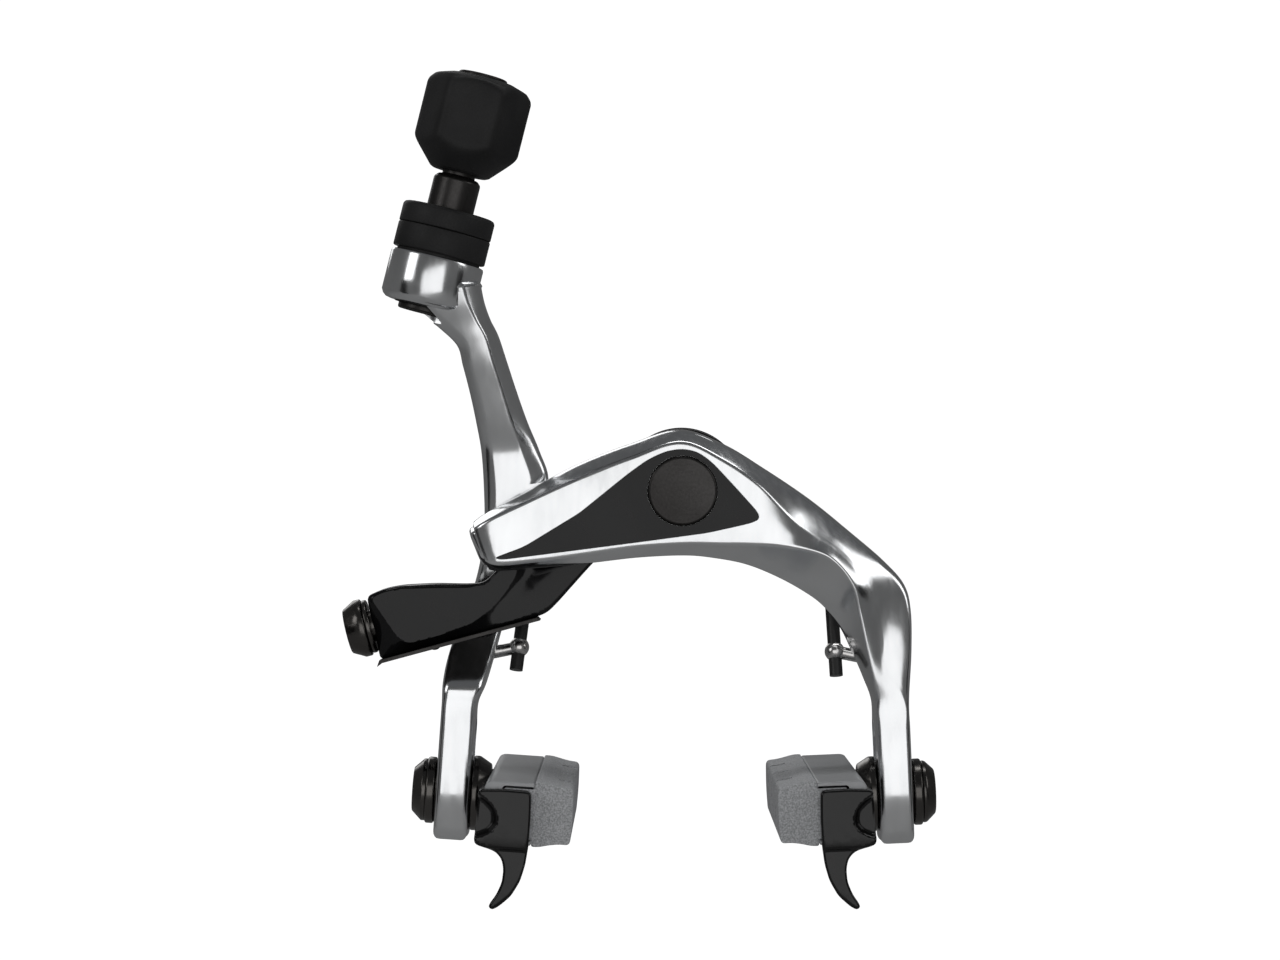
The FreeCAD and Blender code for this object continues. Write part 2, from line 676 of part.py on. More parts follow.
def build_adjuster():
    collar = cell("collar_radius")
    spigot = cell("spigot_radius")
    sleeve = cell("sleeve_radius")
    edge = 0.7
    clear = sleeve + 0.05
    keep("adjuster_base", turned("adjuster_base", ADJUSTER, [
        (clear, -cell("cup_depth") - 0.15), (spigot, -cell("cup_depth") - 0.15), (spigot, 0), (6.6, 0),
        (6.6, 0.45), (collar - edge, 0.45), (collar, 0.45 + edge), (collar, 4.3 - edge),
        (collar - edge, 4.3), (clear, 4.3)]))
    keep("adjuster_lock_ring", turned("adjuster_lock_ring", ADJUSTER, [
        (clear, 4.4), (collar - edge, 4.4), (collar, 4.4 + edge), (collar, 7.7 - edge),
        (collar - edge, 7.7), (4.8, 7.7), (clear, 7.2), (clear, 6.7), (4.7, 6.7), (4.7, 5.7),
        (clear, 5.7)]))
    keep("adjuster_o_ring", turned("adjuster_o_ring", ADJUSTER, [
        (sleeve + 0.04, 6.0), (sleeve + 0.3, 5.75), (4.45, 5.75), (4.65, 6.0), (4.65, 6.4),
        (4.45, 6.65), (sleeve + 0.3, 6.65), (sleeve + 0.04, 6.4)]))
    keep("adjuster_clip", turned("adjuster_clip", ADJUSTER, [
        (clear, -8.9), (4.1, -8.9), (4.3, -8.7), (4.3, -7.95), (clear, -7.95)]))
    keep("adjuster_barrel", turned("adjuster_barrel", ADJUSTER, [
        (cell("cable_radius") + 0.4, -3.4), (sleeve - 0.3, -3.4), (sleeve, -3.1), (sleeve, 12.5),
        (sleeve - 0.6, 13.1), (2.6, 13.1), (2.6, 22.0), (cell("cable_radius") + 0.4, 22.0)]))
    keep("adjuster_knob", adjuster_knob())
    housing = cell("housing_radius")
    keep("housing_ferrule", turned("housing_ferrule", ADJUSTER, [
        (cell("cable_radius"), 22.1), (3.0, 22.1), (3.0, 28.95), (3.9, 28.95), (3.9, 29.3), (3.7, 29.5),
        (housing, 29.5), (housing, 24.0), (cell("cable_radius"), 24.0)]))


def adjuster_knob():
    """A six-sided grip with a coned foot and a bevelled top, bored for barrel and ferrule."""
    low = cell("knob_low")
    high = cell("knob_high")
    flats = cell("knob_flats")
    corner = flats * (1 / math.sqrt(3))
    flat_forward = beside(ADJUSTER, turn=Rotation(Vector(0, 0, 1), 30))
    prism_body = plate("knob_prism", flat_forward, hexagon(flats), low, high - low)
    turned_body = turned("knob_envelope", ADJUSTER, [
        (0, low), (4.3, low), (4.6, low + 0.3), (corner + 0.1, low + 4.7), (corner - 0.2, high - 2.2),
        (corner - 1.5, high - 0.7), (5.2, high), (0, high)])
    grip = common("knob_grip", [prism_body, turned_body])
    bores = [
        cylinder("knob_barrel_bore", ADJUSTER, 2.6, low - 1, Dim(22.05, "22.05")),
        cylinder("knob_ferrule_bore", ADJUSTER, 3.03, 22.05, 31.0),
    ]
    return cut("adjuster_knob", grip, bores)


# ---------------------------------------------------------------- return spring

def rounded_path(points, radii):
    """Straight runs joined by arcs that touch both runs, one radius at each inner point."""
    edges = []
    start = points[0]
    for before, corner, after, radius in zip(points, points[1:], points[2:], radii):
        inward = (before - corner).normalize()
        onward = (after - corner).normalize()
        half = inward.getAngle(onward) / 2
        leg = radius / math.tan(half)
        first = corner + inward * leg
        last = corner + onward * leg
        bisector = (inward + onward).normalize()
        middle = corner + bisector * (radius / math.sin(half) - radius)
        edges.append(Part.LineSegment(start, first).toShape())
        edges.append(Part.Arc(first, middle, last).toShape())
        start = last
    edges.append(Part.LineSegment(start, points[-1]).toShape())
    return Part.Wire(edges)


SPRING_TIPS = {"left": spot(-26.1, 10.5, -28.3), "right": spot(24.4, 10.5, -29.2)}
SPRING_BENDS = {"left": spot(-23.4, SPRING_OUT, -7.0), "right": spot(23.2, SPRING_OUT, -7.0)}


def build_spring():
    wire = SIZES["wire_radius"]
    wrap = SIZES["spool_groove"] + wire + 0.03
    bend = SPRING_BENDS["right"]
    far = math.hypot(bend.x, bend.z)
    touch = math.atan2(bend.z, bend.x) + math.acos(wrap / far)
    apex = spot(0, SPRING_OUT, wrap / math.sin(touch))
    points = [SPRING_TIPS["left"], SPRING_BENDS["left"], apex, bend, SPRING_TIPS["right"]]
    path = rounded_path(points, [4.0, wrap, 4.0])
    heading = (points[1] - points[0]).normalize()
    ring_edge = Part.Circle(points[0], heading, wire).toShape()
    item = doc.addObject("Part::Feature", "return_spring")
    item.Shape = path.makePipeShell([Part.Wire([ring_edge])], True, True)
    keep("return_spring", item)
    section = math.pi * wire ** 2
    print("spring volume", round(item.Shape.Volume, 2), "section by length", round(section * path.Length, 2))


def build_eyes():
    for side in ("left", "right"):
        place = eye_frame(side)
        heading = SPRING_TIPS[side] - SPRING_BENDS[side]
        bore_frame = Placement(EYES[side], Rotation(Vector(0, 0, 1), heading))
        ball = sphere(f"{side}_eye_ball", place, cell("eye_radius"))
        shank = cylinder(f"{side}_eye_shank", place, cell("eye_shank"), 0.5, 6.0)
        solid = fuse(f"{side}_eye_solid", [ball, shank])
        bore = cylinder(f"{side}_eye_bore", bore_frame, cell("wire_radius") + 0.05, -4, 4)
        keep(f"{side}_spring_eye", cut(f"{side}_spring_eye", solid, [bore]))


# ---------------------------------------------------------------- brake pads

DOME_CENTRE = 5.0
DOME_RADIUS = 9.3


def pad_outline(side, corners):
    """(inward, up) corners as local (x, z) corners of a pad frame."""
    sign = -1 if side == "left" else 1
    return [(sign * up, inward) for inward, up in corners]


def build_washers(side, place):
    leg = cell("leg_half")
    slip = cell("pad_bolt") + 0.03
    bore = cell("slot_half")
    lift = leg + 0.25
    for where, way in (("inner", 1), ("outer", -1)):
        base = turned(f"{side}_{where}_dome_base", place, [
            (bore, leg * way), (5.2, leg * way), (5.2, (leg + 1.6) * way), (bore, (leg + 1.6) * way)])
        ball = sphere(f"{side}_{where}_dome_ball", place, DOME_RADIUS, -DOME_CENTRE * way)
        keep(f"{side}_{where}_dome_washer", common(f"{side}_{where}_dome", [base, ball]))
        if where == "inner":
            profile = [(slip, lift), (5.85, lift), (5.85, 3.8), (4.7, 5.7), (slip, 5.7)]
        else:
            profile = [(slip, -lift), (5.0, -lift), (5.2, -lift - 0.2), (5.2, -4.1), (5.0, -4.3),
                       (slip, -4.3)]
        blank = turned(f"{side}_{where}_cup_blank", place, profile)
        hollow = sphere(f"{side}_{where}_cup_hollow", place, DOME_RADIUS + 0.1, -DOME_CENTRE * way)
        keep(f"{side}_{where}_cup_washer", cut(f"{side}_{where}_cup", blank, [hollow]))


def build_pad(side, place):
    thread = cell("pad_bolt")
    half = cell("pad_length") * 0.5
    bolt = turned(f"{side}_pad_bolt", place, [
        (0, -6.4), (3.4, -6.4), (4.85, -4.9), (4.85, -4.3), (thread, -4.3), (thread, 8.4), (0, 8.4)])
    add_socket(bolt, 4.0, -6.4, 2.2, downward=False)
    keep(f"{side}_pad_bolt", bolt)

    holder = extruded(f"{side}_holder_bar", place, pad_outline(side, [
        (5.7, -4.2), (6.5, -5.0), (13.2, -5.0), (13.2, -4.2), (8.6, -4.2), (8.6, 3.6), (13.2, 3.6),
        (13.2, 4.4), (6.5, 4.4), (5.7, 3.6)]), half * 2)
    holder_tools = [
        cylinder(f"{side}_holder_thread", place, thread, 4.0, 9.0),
        cylinder(f"{side}_holder_screw_hole", beside(place, y=19.0), 1.5, 4.0, 9.0),
    ]
    keep(f"{side}_pad_holder", cut(f"{side}_pad_holder", holder, holder_tools))

    block_bar = extruded(f"{side}_pad_bar", place, pad_outline(side, [
        (8.65, -4.15), (13.2, -4.15), (13.25, -5.2), (14.6, -5.1), (16.6, -4.7), (19.2, -4.5),
        (19.2, 3.9), (16.6, 4.2), (14.6, 4.6), (13.25, 4.7), (13.2, 3.55), (8.65, 3.55)]), half * 2 - 0.4)
    grooves = [block(f"{side}_pad_groove_{index}", place, (-8, depth - 0.9, 16.4), (8, depth + 0.9, 21))
               for index, depth in enumerate((-14.0, 0.0, 14.0))]
    screw_hole = cylinder(f"{side}_pad_screw_hole", beside(place, y=19.0), 1.5, 8.0, 10.6)
    keep(f"{side}_brake_pad", cut(f"{side}_brake_pad", block_bar, grooves + [screw_hole]))

    keep(f"{side}_pad_screw", turned(f"{side}_pad_screw", beside(place, y=19.0), [
        (0, 4.5), (2.1, 4.5), (2.4, 4.8), (2.4, 5.7), (1.5, 5.7), (1.5, 10.4), (0, 10.4)]))

    wall = extruded(f"{side}_guide_wall", beside(place, y=-28.0), pad_outline(side, [
        (4.9, 3.1), (12.6, 3.3), (12.8, -5.0), (12.5, -7.9), (12.0, -10.3), (10.7, -12.7), (8.4, -14.8),
        (7.5, -14.4), (8.5, -12.5), (9.3, -10.3), (9.4, -7.9), (8.6, -6.0), (4.9, -5.4), (4.9, -4.2),
        (7.4, -3.0), (8.2, -1.0), (7.6, 1.0), (4.9, 2.0)]), 1.8)
    strap_low = (-4.3, -28.9, 4.9) if side == "right" else (-2.7, -28.9, 4.9)
    strap_high = (2.7, -7.0, 5.65) if side == "right" else (4.3, -7.0, 5.65)
    strap = block(f"{side}_guide_strap", place, strap_low, strap_high)
    keep(f"{side}_wheel_guide", fuse(f"{side}_wheel_guide", [wall, strap]))


# ---------------------------------------------------------------- build, check and write

build_pivot()
build_front_arm()
build_rear_arm()
build_link()
build_anchor()
build_lever()
build_adjuster()
build_spring()
build_eyes()
for pad_side, pad_place in (("left", LEFT_PAD), ("right", RIGHT_PAD)):
    build_washers(pad_side, pad_place)
    build_pad(pad_side, pad_place)

doc.recompute()

failed = [item.Label for item in doc.Objects if "Invalid" in item.State or "Error" in item.State]
if failed:
    raise RuntimeError(f"these objects did not compute: {failed}")
for name, item in nodes.items():
    shape = item.Shape
    if shape.isNull() or not shape.isValid() or len(shape.Solids) != 1:
        raise RuntimeError(f"{name} is not one valid solid: {len(shape.Solids)} solids")

for name, item in nodes.items():
    item.Shape.exportStep(f"parts/{name}.step")
print(len(nodes), "sub-parts written")
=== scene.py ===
import math

import bmesh
import bpy
import numpy as np
from mathutils import Matrix, Vector
from mathutils.geometry import delaunay_2d_cdt
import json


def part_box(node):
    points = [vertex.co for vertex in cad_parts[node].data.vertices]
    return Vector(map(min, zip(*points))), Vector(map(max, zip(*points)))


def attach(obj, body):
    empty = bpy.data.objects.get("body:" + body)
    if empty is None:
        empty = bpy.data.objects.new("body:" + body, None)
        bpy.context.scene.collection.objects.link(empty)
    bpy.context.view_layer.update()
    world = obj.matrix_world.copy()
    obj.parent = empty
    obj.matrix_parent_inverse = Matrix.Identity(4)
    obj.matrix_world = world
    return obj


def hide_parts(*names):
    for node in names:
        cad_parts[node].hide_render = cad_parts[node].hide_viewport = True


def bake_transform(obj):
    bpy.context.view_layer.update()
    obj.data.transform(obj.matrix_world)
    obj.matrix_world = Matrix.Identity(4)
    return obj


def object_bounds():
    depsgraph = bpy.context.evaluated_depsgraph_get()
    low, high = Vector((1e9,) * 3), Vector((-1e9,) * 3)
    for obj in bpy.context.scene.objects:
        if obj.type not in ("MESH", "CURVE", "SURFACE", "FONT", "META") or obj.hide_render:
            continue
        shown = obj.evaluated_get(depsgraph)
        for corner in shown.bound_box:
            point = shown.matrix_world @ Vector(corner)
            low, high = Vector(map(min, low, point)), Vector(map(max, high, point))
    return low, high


# The looks of a dual-pivot road brake caliper.  Lengths are written in millimetres and
# turned into metres when a mesh is made.  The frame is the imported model's: the origin on
# the stud axis at the seat plane, +Z up, -Y the front.  "Out" counts along -Y.  The stage
# alone is written in metres.

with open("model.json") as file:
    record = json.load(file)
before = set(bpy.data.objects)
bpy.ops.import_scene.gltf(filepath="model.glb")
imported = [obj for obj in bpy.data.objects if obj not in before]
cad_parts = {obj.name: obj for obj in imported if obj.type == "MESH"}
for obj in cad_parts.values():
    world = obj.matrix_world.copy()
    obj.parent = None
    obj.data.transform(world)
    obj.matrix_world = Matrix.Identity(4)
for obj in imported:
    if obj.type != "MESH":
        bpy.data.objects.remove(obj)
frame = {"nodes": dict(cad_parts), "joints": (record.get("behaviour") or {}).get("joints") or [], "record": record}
cad_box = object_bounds()

MM = 0.001
RECORD = frame["record"]
SLOT_OF = {part["node"]: part["material_slot"] for part in RECORD["subparts"]}
BODY_OF = {node: body for body, nodes in RECORD["behaviour"]["bodies"].items() for node in nodes}
COLOUR_OF = {entry["slot"]: tuple(entry["base_color"]) for entry in RECORD["materials"]}
JOINT_OF = {joint["name"]: joint for joint in frame["joints"]}


# -- frames

def spot(x, out, z):
    return Vector((x, -out, z))


def axes(origin, x_axis, z_axis):
    """A frame at an origin, from its X and Z directions, in millimetres."""
    z_axis = Vector(z_axis).normalized()
    x_axis = Vector(x_axis).normalized()
    y_axis = z_axis.cross(x_axis)
    turn = Matrix((x_axis, y_axis, z_axis)).transposed().to_4x4()
    return Matrix.Translation(Vector(origin)) @ turn


def joint_spot(name):
    return Vector(JOINT_OF[name]["pos_m"]) / MM


OUTWARD = (0, -1, 0)
PIVOT = axes((0, 0, 0), (1, 0, 0), OUTWARD)


def out_at(x, z):
    """The pivot frame moved to a point of the front view."""
    return axes(spot(x, 0, z), (1, 0, 0), OUTWARD)


def pad_frame(side):
    """A pad's frame: local Z towards the rim, local X up, local Y along the pad."""
    inward = JOINT_OF[f"{side}_pad_roll"]["axis"]
    upward = JOINT_OF[f"{side}_pad_toe_in"]["axis"]
    return axes(joint_spot(f"{side}_pad_roll"), upward, inward)


def adjuster_frame():
    along = Vector(JOINT_OF["adjuster_turn"]["axis"])
    return axes(joint_spot("adjuster_turn"), Vector((0, 1, 0)).cross(along), along)


ADJUSTER = adjuster_frame()
PADS = {side: pad_frame(side) for side in ("left", "right")}


# -- mesh tools

def add_object(name, data):
    item = bpy.data.objects.new(name, data)
    bpy.context.scene.collection.objects.link(item)
    return item


def add_mesh(name, points, faces):
    """A mesh object from points in millimetres, its faces turned outwards."""
    shape = bmesh.new()
    corners = [shape.verts.new(Vector(point) * MM) for point in points]
    for face in faces:
        shape.faces.new([corners[index] for index in face])
    bmesh.ops.recalc_face_normals(shape, faces=shape.faces)
    mesh = bpy.data.meshes.new(name)
    shape.to_mesh(mesh)
    shape.free()
    mesh.shade_smooth()
    return add_object(name, mesh)


def skin(name, rings, looped=False):
    """A surface over rings of equal length: capped at both ends, or joined end to end."""
    count = len(rings[0])
    rows = len(rings)
    points = [point for ring in rings for point in ring]
    faces = []
    for row in range(rows if looped else rows - 1):
        low = row * count
        high = ((row + 1) % rows) * count
        for column in range(count):
            after = (column + 1) % count
            faces.append((low + column, low + after, high + after, high + column))
    if not looped:
        faces.append(tuple(range(count)))
        faces.append(tuple(range((rows - 1) * count, rows * count)))
    return add_mesh(name, points, faces)


def applied(piece):
    """Turn a piece's modifiers into mesh."""
    graph = bpy.context.evaluated_depsgraph_get()
    graph.update()
    mesh = bpy.data.meshes.new_from_object(piece.evaluated_get(graph))
    piece.modifiers.clear()
    piece.data = mesh
    return piece


def boolean(piece, operation, tools):
    """Cut, join or intersect a piece with tools, which are used up."""
    for tool in tools:
        modifier = piece.modifiers.new(operation, "BOOLEAN")
        modifier.operation = operation
        modifier.solver = "EXACT"
        modifier.object = tool
        applied(piece)
        bpy.data.objects.remove(tool)
    return piece


def bevelled(piece, width, steps=3, angle=30):
    """Round the sharp edges of a piece and even out its shading."""
    edge = piece.modifiers.new("edge", "BEVEL")
    edge.width = width * MM
    edge.segments = steps
    edge.limit_method = "ANGLE"
    edge.angle_limit = math.radians(angle)
    piece.data.shade_smooth()
    shading = piece.modifiers.new("shading", "WEIGHTED_NORMAL")
    shading.keep_sharp = False
    return applied(piece)


def sharp_by_angle(piece, degrees=32):
    piece.data.shade_smooth()
    piece.data.set_sharp_from_angle(angle=math.radians(degrees))
    return piece


def coat(piece, slot):
    piece.data.materials.clear()
    piece.data.materials.append(MATERIALS[slot])


def finish_piece(piece, body, slot, node=None):
    """Give a piece its finish, its body and the CAD node that it stands for."""
    coat(piece, slot)
    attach(piece, body)
    if node:
        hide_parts(node)
    return piece


def stand_in(piece, node):
    return finish_piece(piece, BODY_OF[node], SLOT_OF[node], node)


def clean_copy(node, name):
    """A welded copy of a CAD node's mesh, with its flat faces whole again."""
    shape = bmesh.new()
    shape.from_mesh(frame["nodes"][node].data)
    bmesh.ops.remove_doubles(shape, verts=shape.verts, dist=1e-6)
    bmesh.ops.dissolve_limit(shape, angle_limit=math.radians(1.0), verts=shape.verts, edges=shape.edges)
    points = [vert.co / MM for vert in shape.verts]
    shape.verts.index_update()
    faces = [[vert.index for vert in face.verts] for face in shape.faces]
    shape.free()
    return add_mesh(name, points, faces)


def refined(node, width):
    """The CAD node again, with its edges broken as a finished part's are."""
    piece = clean_copy(node, f"{node}_finished")
    bevelled(piece, width)
    return stand_in(piece, node)


def placed(place, points):
    return [place @ Vector(point) for point in points]


def turn_steps(count):
    return [2 * math.pi * step / count for step in range(count)]


def circle(radius, height, count):
    return [(radius * math.cos(angle), radius * math.sin(angle), height) for angle in turn_steps(count)]


def drum(name, place, radius, low, high, count=96):
    """A plain round tool along a frame's Z axis."""
    return skin(name, [placed(place, circle(radius, height, count)) for height in (low, high)])


def turned(name, place, profile, count=128):
    """A closed profile of (radius, height) turned about a frame's Z axis."""
    rings = [placed(place, circle(radius, height, count)) for radius, height in profile]
    return skin(name, rings, looped=True)


def prism(name, place, corners, low, high):
    """A plate between two heights of a frame."""
    rings = [placed(place, [(x, y, height) for x, y in corners]) for height in (low, high)]
    return skin(name, rings)


def round_corners(corners, radius, steps=6):
    """A closed outline with each corner turned into a short smooth curve."""
    result = []
    count = len(corners)
    radii = radius if isinstance(radius, (list, tuple)) else [radius] * count
    for index in range(count):
        before, corner, after = (Vector(corners[(index + shift) % count]) for shift in (-1, 0, 1))
        back = before - corner
        onward = after - corner
        start = corner + back.normalized() * min(radii[index], 0.45 * back.length)
        end = corner + onward.normalized() * min(radii[index], 0.45 * onward.length)
        for step in range(steps + 1):
            part = step / steps
            result.append(tuple(start * (1 - part) ** 2 + corner * 2 * part * (1 - part) + end * part ** 2))
    return result


def spaced(points, gap, closed=True):
    """Points at even gaps along a line of straight runs."""
    points = np.array(points, float)
    if closed:
        points = np.vstack([points, points[:1]])
    along = np.concatenate([[0], np.cumsum(np.linalg.norm(np.diff(points, axis=0), axis=1))])
    count = max(2, int(along[-1] / gap))
    stations = np.linspace(0, along[-1], count + (0 if closed else 1), endpoint=not closed)
    return np.stack([np.interp(stations, along, points[:, 0]), np.interp(stations, along, points[:, 1])], 1)


def distance_to(points, line, closed=True):
    """How far each point is from a line, and the nearest spot on it."""
    points = np.asarray(points, float)
    starts = np.asarray(line, float)
    ends = np.roll(starts, -1, axis=0)
    if not closed:
        starts, ends = starts[:-1], ends[:-1]
    run = ends - starts
    part = ((points[:, None] - starts) * run).sum(2) / np.maximum((run ** 2).sum(1), 1e-12)
    nearest = starts + np.clip(part, 0, 1)[..., None] * run
    gaps = np.linalg.norm(points[:, None] - nearest, axis=2)
    best = gaps.argmin(1)
    rows = np.arange(len(points))
    return gaps[rows, best], nearest[rows, best]


def inside(points, line):
    """Whether each point is within a closed line."""
    x, y = np.asarray(points, float).T
    hits = np.zeros(len(x), bool)
    line = np.asarray(line, float)
    for (ax, ay), (bx, by) in zip(line, np.roll(line, -1, axis=0)):
        if ay != by:
            crosses = ((ay > y) != (by > y)) & (x < (bx - ax) * (y - ay) / (by - ay) + ax)
            hits ^= crosses
    return hits


def inset_line(line, inset):
    """A closed line moved inwards."""
    area = (line[:, 0] * np.roll(line[:, 1], -1) - line[:, 1] * np.roll(line[:, 0], -1)).sum()
    along = np.roll(line, -1, axis=0) - np.roll(line, 1, axis=0)
    inward = np.stack([-along[:, 1], along[:, 0]], 1) * math.copysign(1, area)
    return line + inward / np.linalg.norm(inward, axis=1)[:, None] * inset


ROUNDED_RIM = ((0.0, 1.0), (0.08, 0.6), (0.3, 0.29), (0.6, 0.08), (1.0, 0.0))


def bar(name, place, outline, start, end, edge):
    """A bar of one section along a frame's Y axis, with rounded rims at its ends."""
    outline = np.array(outline, float)
    way = math.copysign(1, end - start)
    levels = [(start + way * edge * rise, edge * inset) for rise, inset in ROUNDED_RIM]
    levels += [(end - way * edge * rise, edge * inset) for rise, inset in reversed(ROUNDED_RIM)]
    rings = [placed(place, [(up, level, inward) for up, inward in inset_line(outline, inset)])
             for level, inset in levels]
    return skin(name, rings)


def smooth_step(value):
    value = np.clip(value, 0, 1)
    return value * value * (3 - 2 * value)


WITHIN_LOOP, SAME_SPOT = 1, 1e-4
BACK_RIM = ((0.0, 0.25), (0.07, 0.07), (0.25, 0.0))
RIM_ANGLES = (0, 22, 45, 67, 90)


def relief(name, outline, lines, height, back, into, gap=0.4, rim=0.45):
    """A solid with a sculpted face: height gives the face, and into turns (u, v, height) to a point."""
    edge = spaced(outline, gap * 0.8)
    turns = [math.radians(angle) for angle in RIM_ANGLES]
    insets = [rim * (1 - math.cos(turn)) for turn in turns]
    drops = [rim * (1 - math.sin(turn)) for turn in turns]
    groups = [edge] + [inset_line(edge, inset) for inset in insets[1:]]
    low, high = edge.min(0), edge.max(0)
    grid = np.stack(np.meshgrid(np.arange(low[0], high[0], gap), np.arange(low[1], high[1], gap)), -1)
    groups += lines + [grid.reshape(-1, 2)]
    free = np.vstack(groups[1:])
    gaps, _ = distance_to(free, edge)
    rim_count = sum(len(group) for group in groups[1:len(turns)])
    index = np.arange(len(free))
    keep = inside(free, edge) & (gaps > np.where(index < rim_count, insets[1] * 0.6, rim * 1.2))
    flat = np.vstack([edge, free[keep]])
    loop = [(step, (step + 1) % len(edge)) for step in range(len(edge))]
    knots = [Vector(point) for point in flat]
    points, _, triangles, sources, _, _ = delaunay_2d_cdt(knots, loop, [], WITHIN_LOOP, SAME_SPOT)
    where = np.array([tuple(point) for point in points])
    gaps, _ = distance_to(where, edge)
    fall = np.interp(gaps, insets, drops)
    outs = height(where) - fall
    renumbered = {old: new for new, olds in enumerate(sources) for old in olds}
    rim_loop = [renumbered[step] for step in range(len(edge))]
    corners = [into(u, v, out) for (u, v), out in zip(where, outs)]
    faces = [tuple(triangle) for triangle in triangles]
    last = rim_loop
    for shift, rise in BACK_RIM:
        first = len(corners)
        corners += [into(u, v, back + rise) for u, v in inset_line(edge, shift)]
        ring = list(range(first, first + len(edge)))
        for step in range(len(edge)):
            after = (step + 1) % len(edge)
            faces.append((last[step], last[after], ring[after], ring[step]))
        last = ring
    faces.append(tuple(last))
    return add_mesh(name, corners, faces)


def smooth_rows(rows, steps):
    """Rows of points on centripetal curves through the given rows."""
    rows = np.array(rows, float)
    centres = rows.mean(axis=1)
    gaps = np.sqrt(np.linalg.norm(np.diff(centres, axis=0), axis=1))
    changes = np.diff(rows, axis=0) / gaps[:, None, None]
    slopes = np.empty_like(rows)
    slopes[0] = changes[0]
    slopes[-1] = changes[-1]
    ahead = gaps[1:, None, None]
    behind = gaps[:-1, None, None]
    slopes[1:-1] = (changes[:-1] * ahead + changes[1:] * behind) / (ahead + behind)
    result = []
    for index, gap in enumerate(gaps):
        for step in range(steps):
            part = step / steps
            result.append(
                rows[index] * (2 * part ** 3 - 3 * part ** 2 + 1)
                + rows[index + 1] * (3 * part ** 2 - 2 * part ** 3)
                + slopes[index] * gap * (part ** 3 - 2 * part ** 2 + part)
                + slopes[index + 1] * gap * (part ** 3 - part ** 2))
    result.append(rows[-1])
    return result


def soft_ring(corners, radii, crown, steps=4, spans=4):
    """A section with rounded corners and slightly crowned sides."""
    count = len(corners)
    corners = [Vector(corner) for corner in corners]
    centre = sum(corners, Vector()) / count
    starts, ends, ring = [], [], []
    for index, corner in enumerate(corners):
        back = corners[index - 1] - corner
        onward = corners[(index + 1) % count] - corner
        starts.append(corner + back.normalized() * min(radii[index], 0.42 * back.length))
        ends.append(corner + onward.normalized() * min(radii[index], 0.42 * onward.length))
    for index, corner in enumerate(corners):
        start, end = starts[index], ends[index]
        for step in range(steps + 1):
            part = step / steps
            ring.append(start * (1 - part) ** 2 + corner * 2 * part * (1 - part) + end * part ** 2)
        target = starts[(index + 1) % count]
        side = target - end
        lift = (end + target) / 2 - centre
        lift = (lift - lift.project(side)).normalized() if side.length > 1e-6 else Vector()
        for step in range(1, spans):
            part = step / spans
            ring.append(end + side * part + lift * crown * side.length * 4 * part * (1 - part))
    return ring


def shrunk_end(ring, towards, radius, steps=4):
    """The rings that round off an end, from the full ring to the flat of the end."""
    centre = sum(ring, Vector()) / len(ring)
    rings = []
    for step in range(steps + 1):
        angle = math.pi / 2 * step / steps
        inset = radius * (1 - math.cos(angle))
        shift = towards * (radius * math.sin(angle) - radius)
        rings.append([point - (point - centre).normalized() * inset + shift for point in ring])
    return rings


def limb(name, sections, radii, crown, steps, end_radii):
    """A forged bar through its sections, with rounded ridges and ends."""
    rows = smooth_rows(sections, steps)
    centres = [Vector(row.mean(axis=0)) for row in rows]
    heads = [(centres[0] - centres[1]).normalized(), (centres[-1] - centres[-2]).normalized()]
    keep = [row for row, centre in zip(rows[1:-1], centres[1:-1])
            if (centre - centres[0]).length > end_radii[0] + 0.1
            and (centre - centres[-1]).length > end_radii[1] + 0.1]
    rings = [soft_ring(row, radii, crown) for row in keep]
    first = shrunk_end(soft_ring(rows[0], radii, crown), heads[0], end_radii[0])
    last = shrunk_end(soft_ring(rows[-1], radii, crown), heads[1], end_radii[1])
    return skin(name, first[::-1] + rings + last)


# -- materials

def new_material(name):
    material = bpy.data.materials.new(name)
    material.use_nodes = True
    return material, material.node_tree, material.node_tree.nodes["Principled BSDF"]


def object_space(tree, stretch):
    place = tree.nodes.new("ShaderNodeTexCoord")
    mapping = tree.nodes.new("ShaderNodeMapping")
    mapping.inputs["Scale"].default_value = stretch
    tree.links.new(place.outputs["Object"], mapping.inputs["Vector"])
    return mapping.outputs["Vector"]


def noise(tree, scale, detail, stretch=(1, 1, 1)):
    """Grain with a scale in features for each metre."""
    node = tree.nodes.new("ShaderNodeTexNoise")
    node.inputs["Scale"].default_value = scale
    node.inputs["Detail"].default_value = detail
    tree.links.new(object_space(tree, stretch), node.inputs["Vector"])
    return node.outputs["Fac"]


def between(tree, source, low, high, start=0.3, end=0.7):
    """A value between two limits as the source goes from start to end."""
    node = tree.nodes.new("ShaderNodeMapRange")
    node.inputs["From Min"].default_value = start
    node.inputs["From Max"].default_value = end
    node.inputs["To Min"].default_value = low
    node.inputs["To Max"].default_value = high
    tree.links.new(source, node.inputs["Value"])
    return node.outputs["Result"]


def two_tone(tree, source, first, second, start=0.35, end=0.65):
    ramp = tree.nodes.new("ShaderNodeValToRGB")
    for stop, place, colour in zip(ramp.color_ramp.elements, (start, end), (first, second)):
        stop.position = place
        stop.color = (*colour, 1)
    tree.links.new(source, ramp.inputs["Fac"])
    return ramp.outputs["Color"]


def bumped(tree, source, depth):
    """A bump of a depth in millimetres."""
    node = tree.nodes.new("ShaderNodeBump")
    node.inputs["Distance"].default_value = depth * MM
    node.inputs["Strength"].default_value = 1.0
    tree.links.new(source, node.inputs["Height"])
    return node.outputs["Normal"]


def shaded(colour, tint):
    """A colour a little lighter, for the second tone of a finish."""
    return tuple(min(1.0, part * (1 + tint) + tint * 0.05) for part in colour)


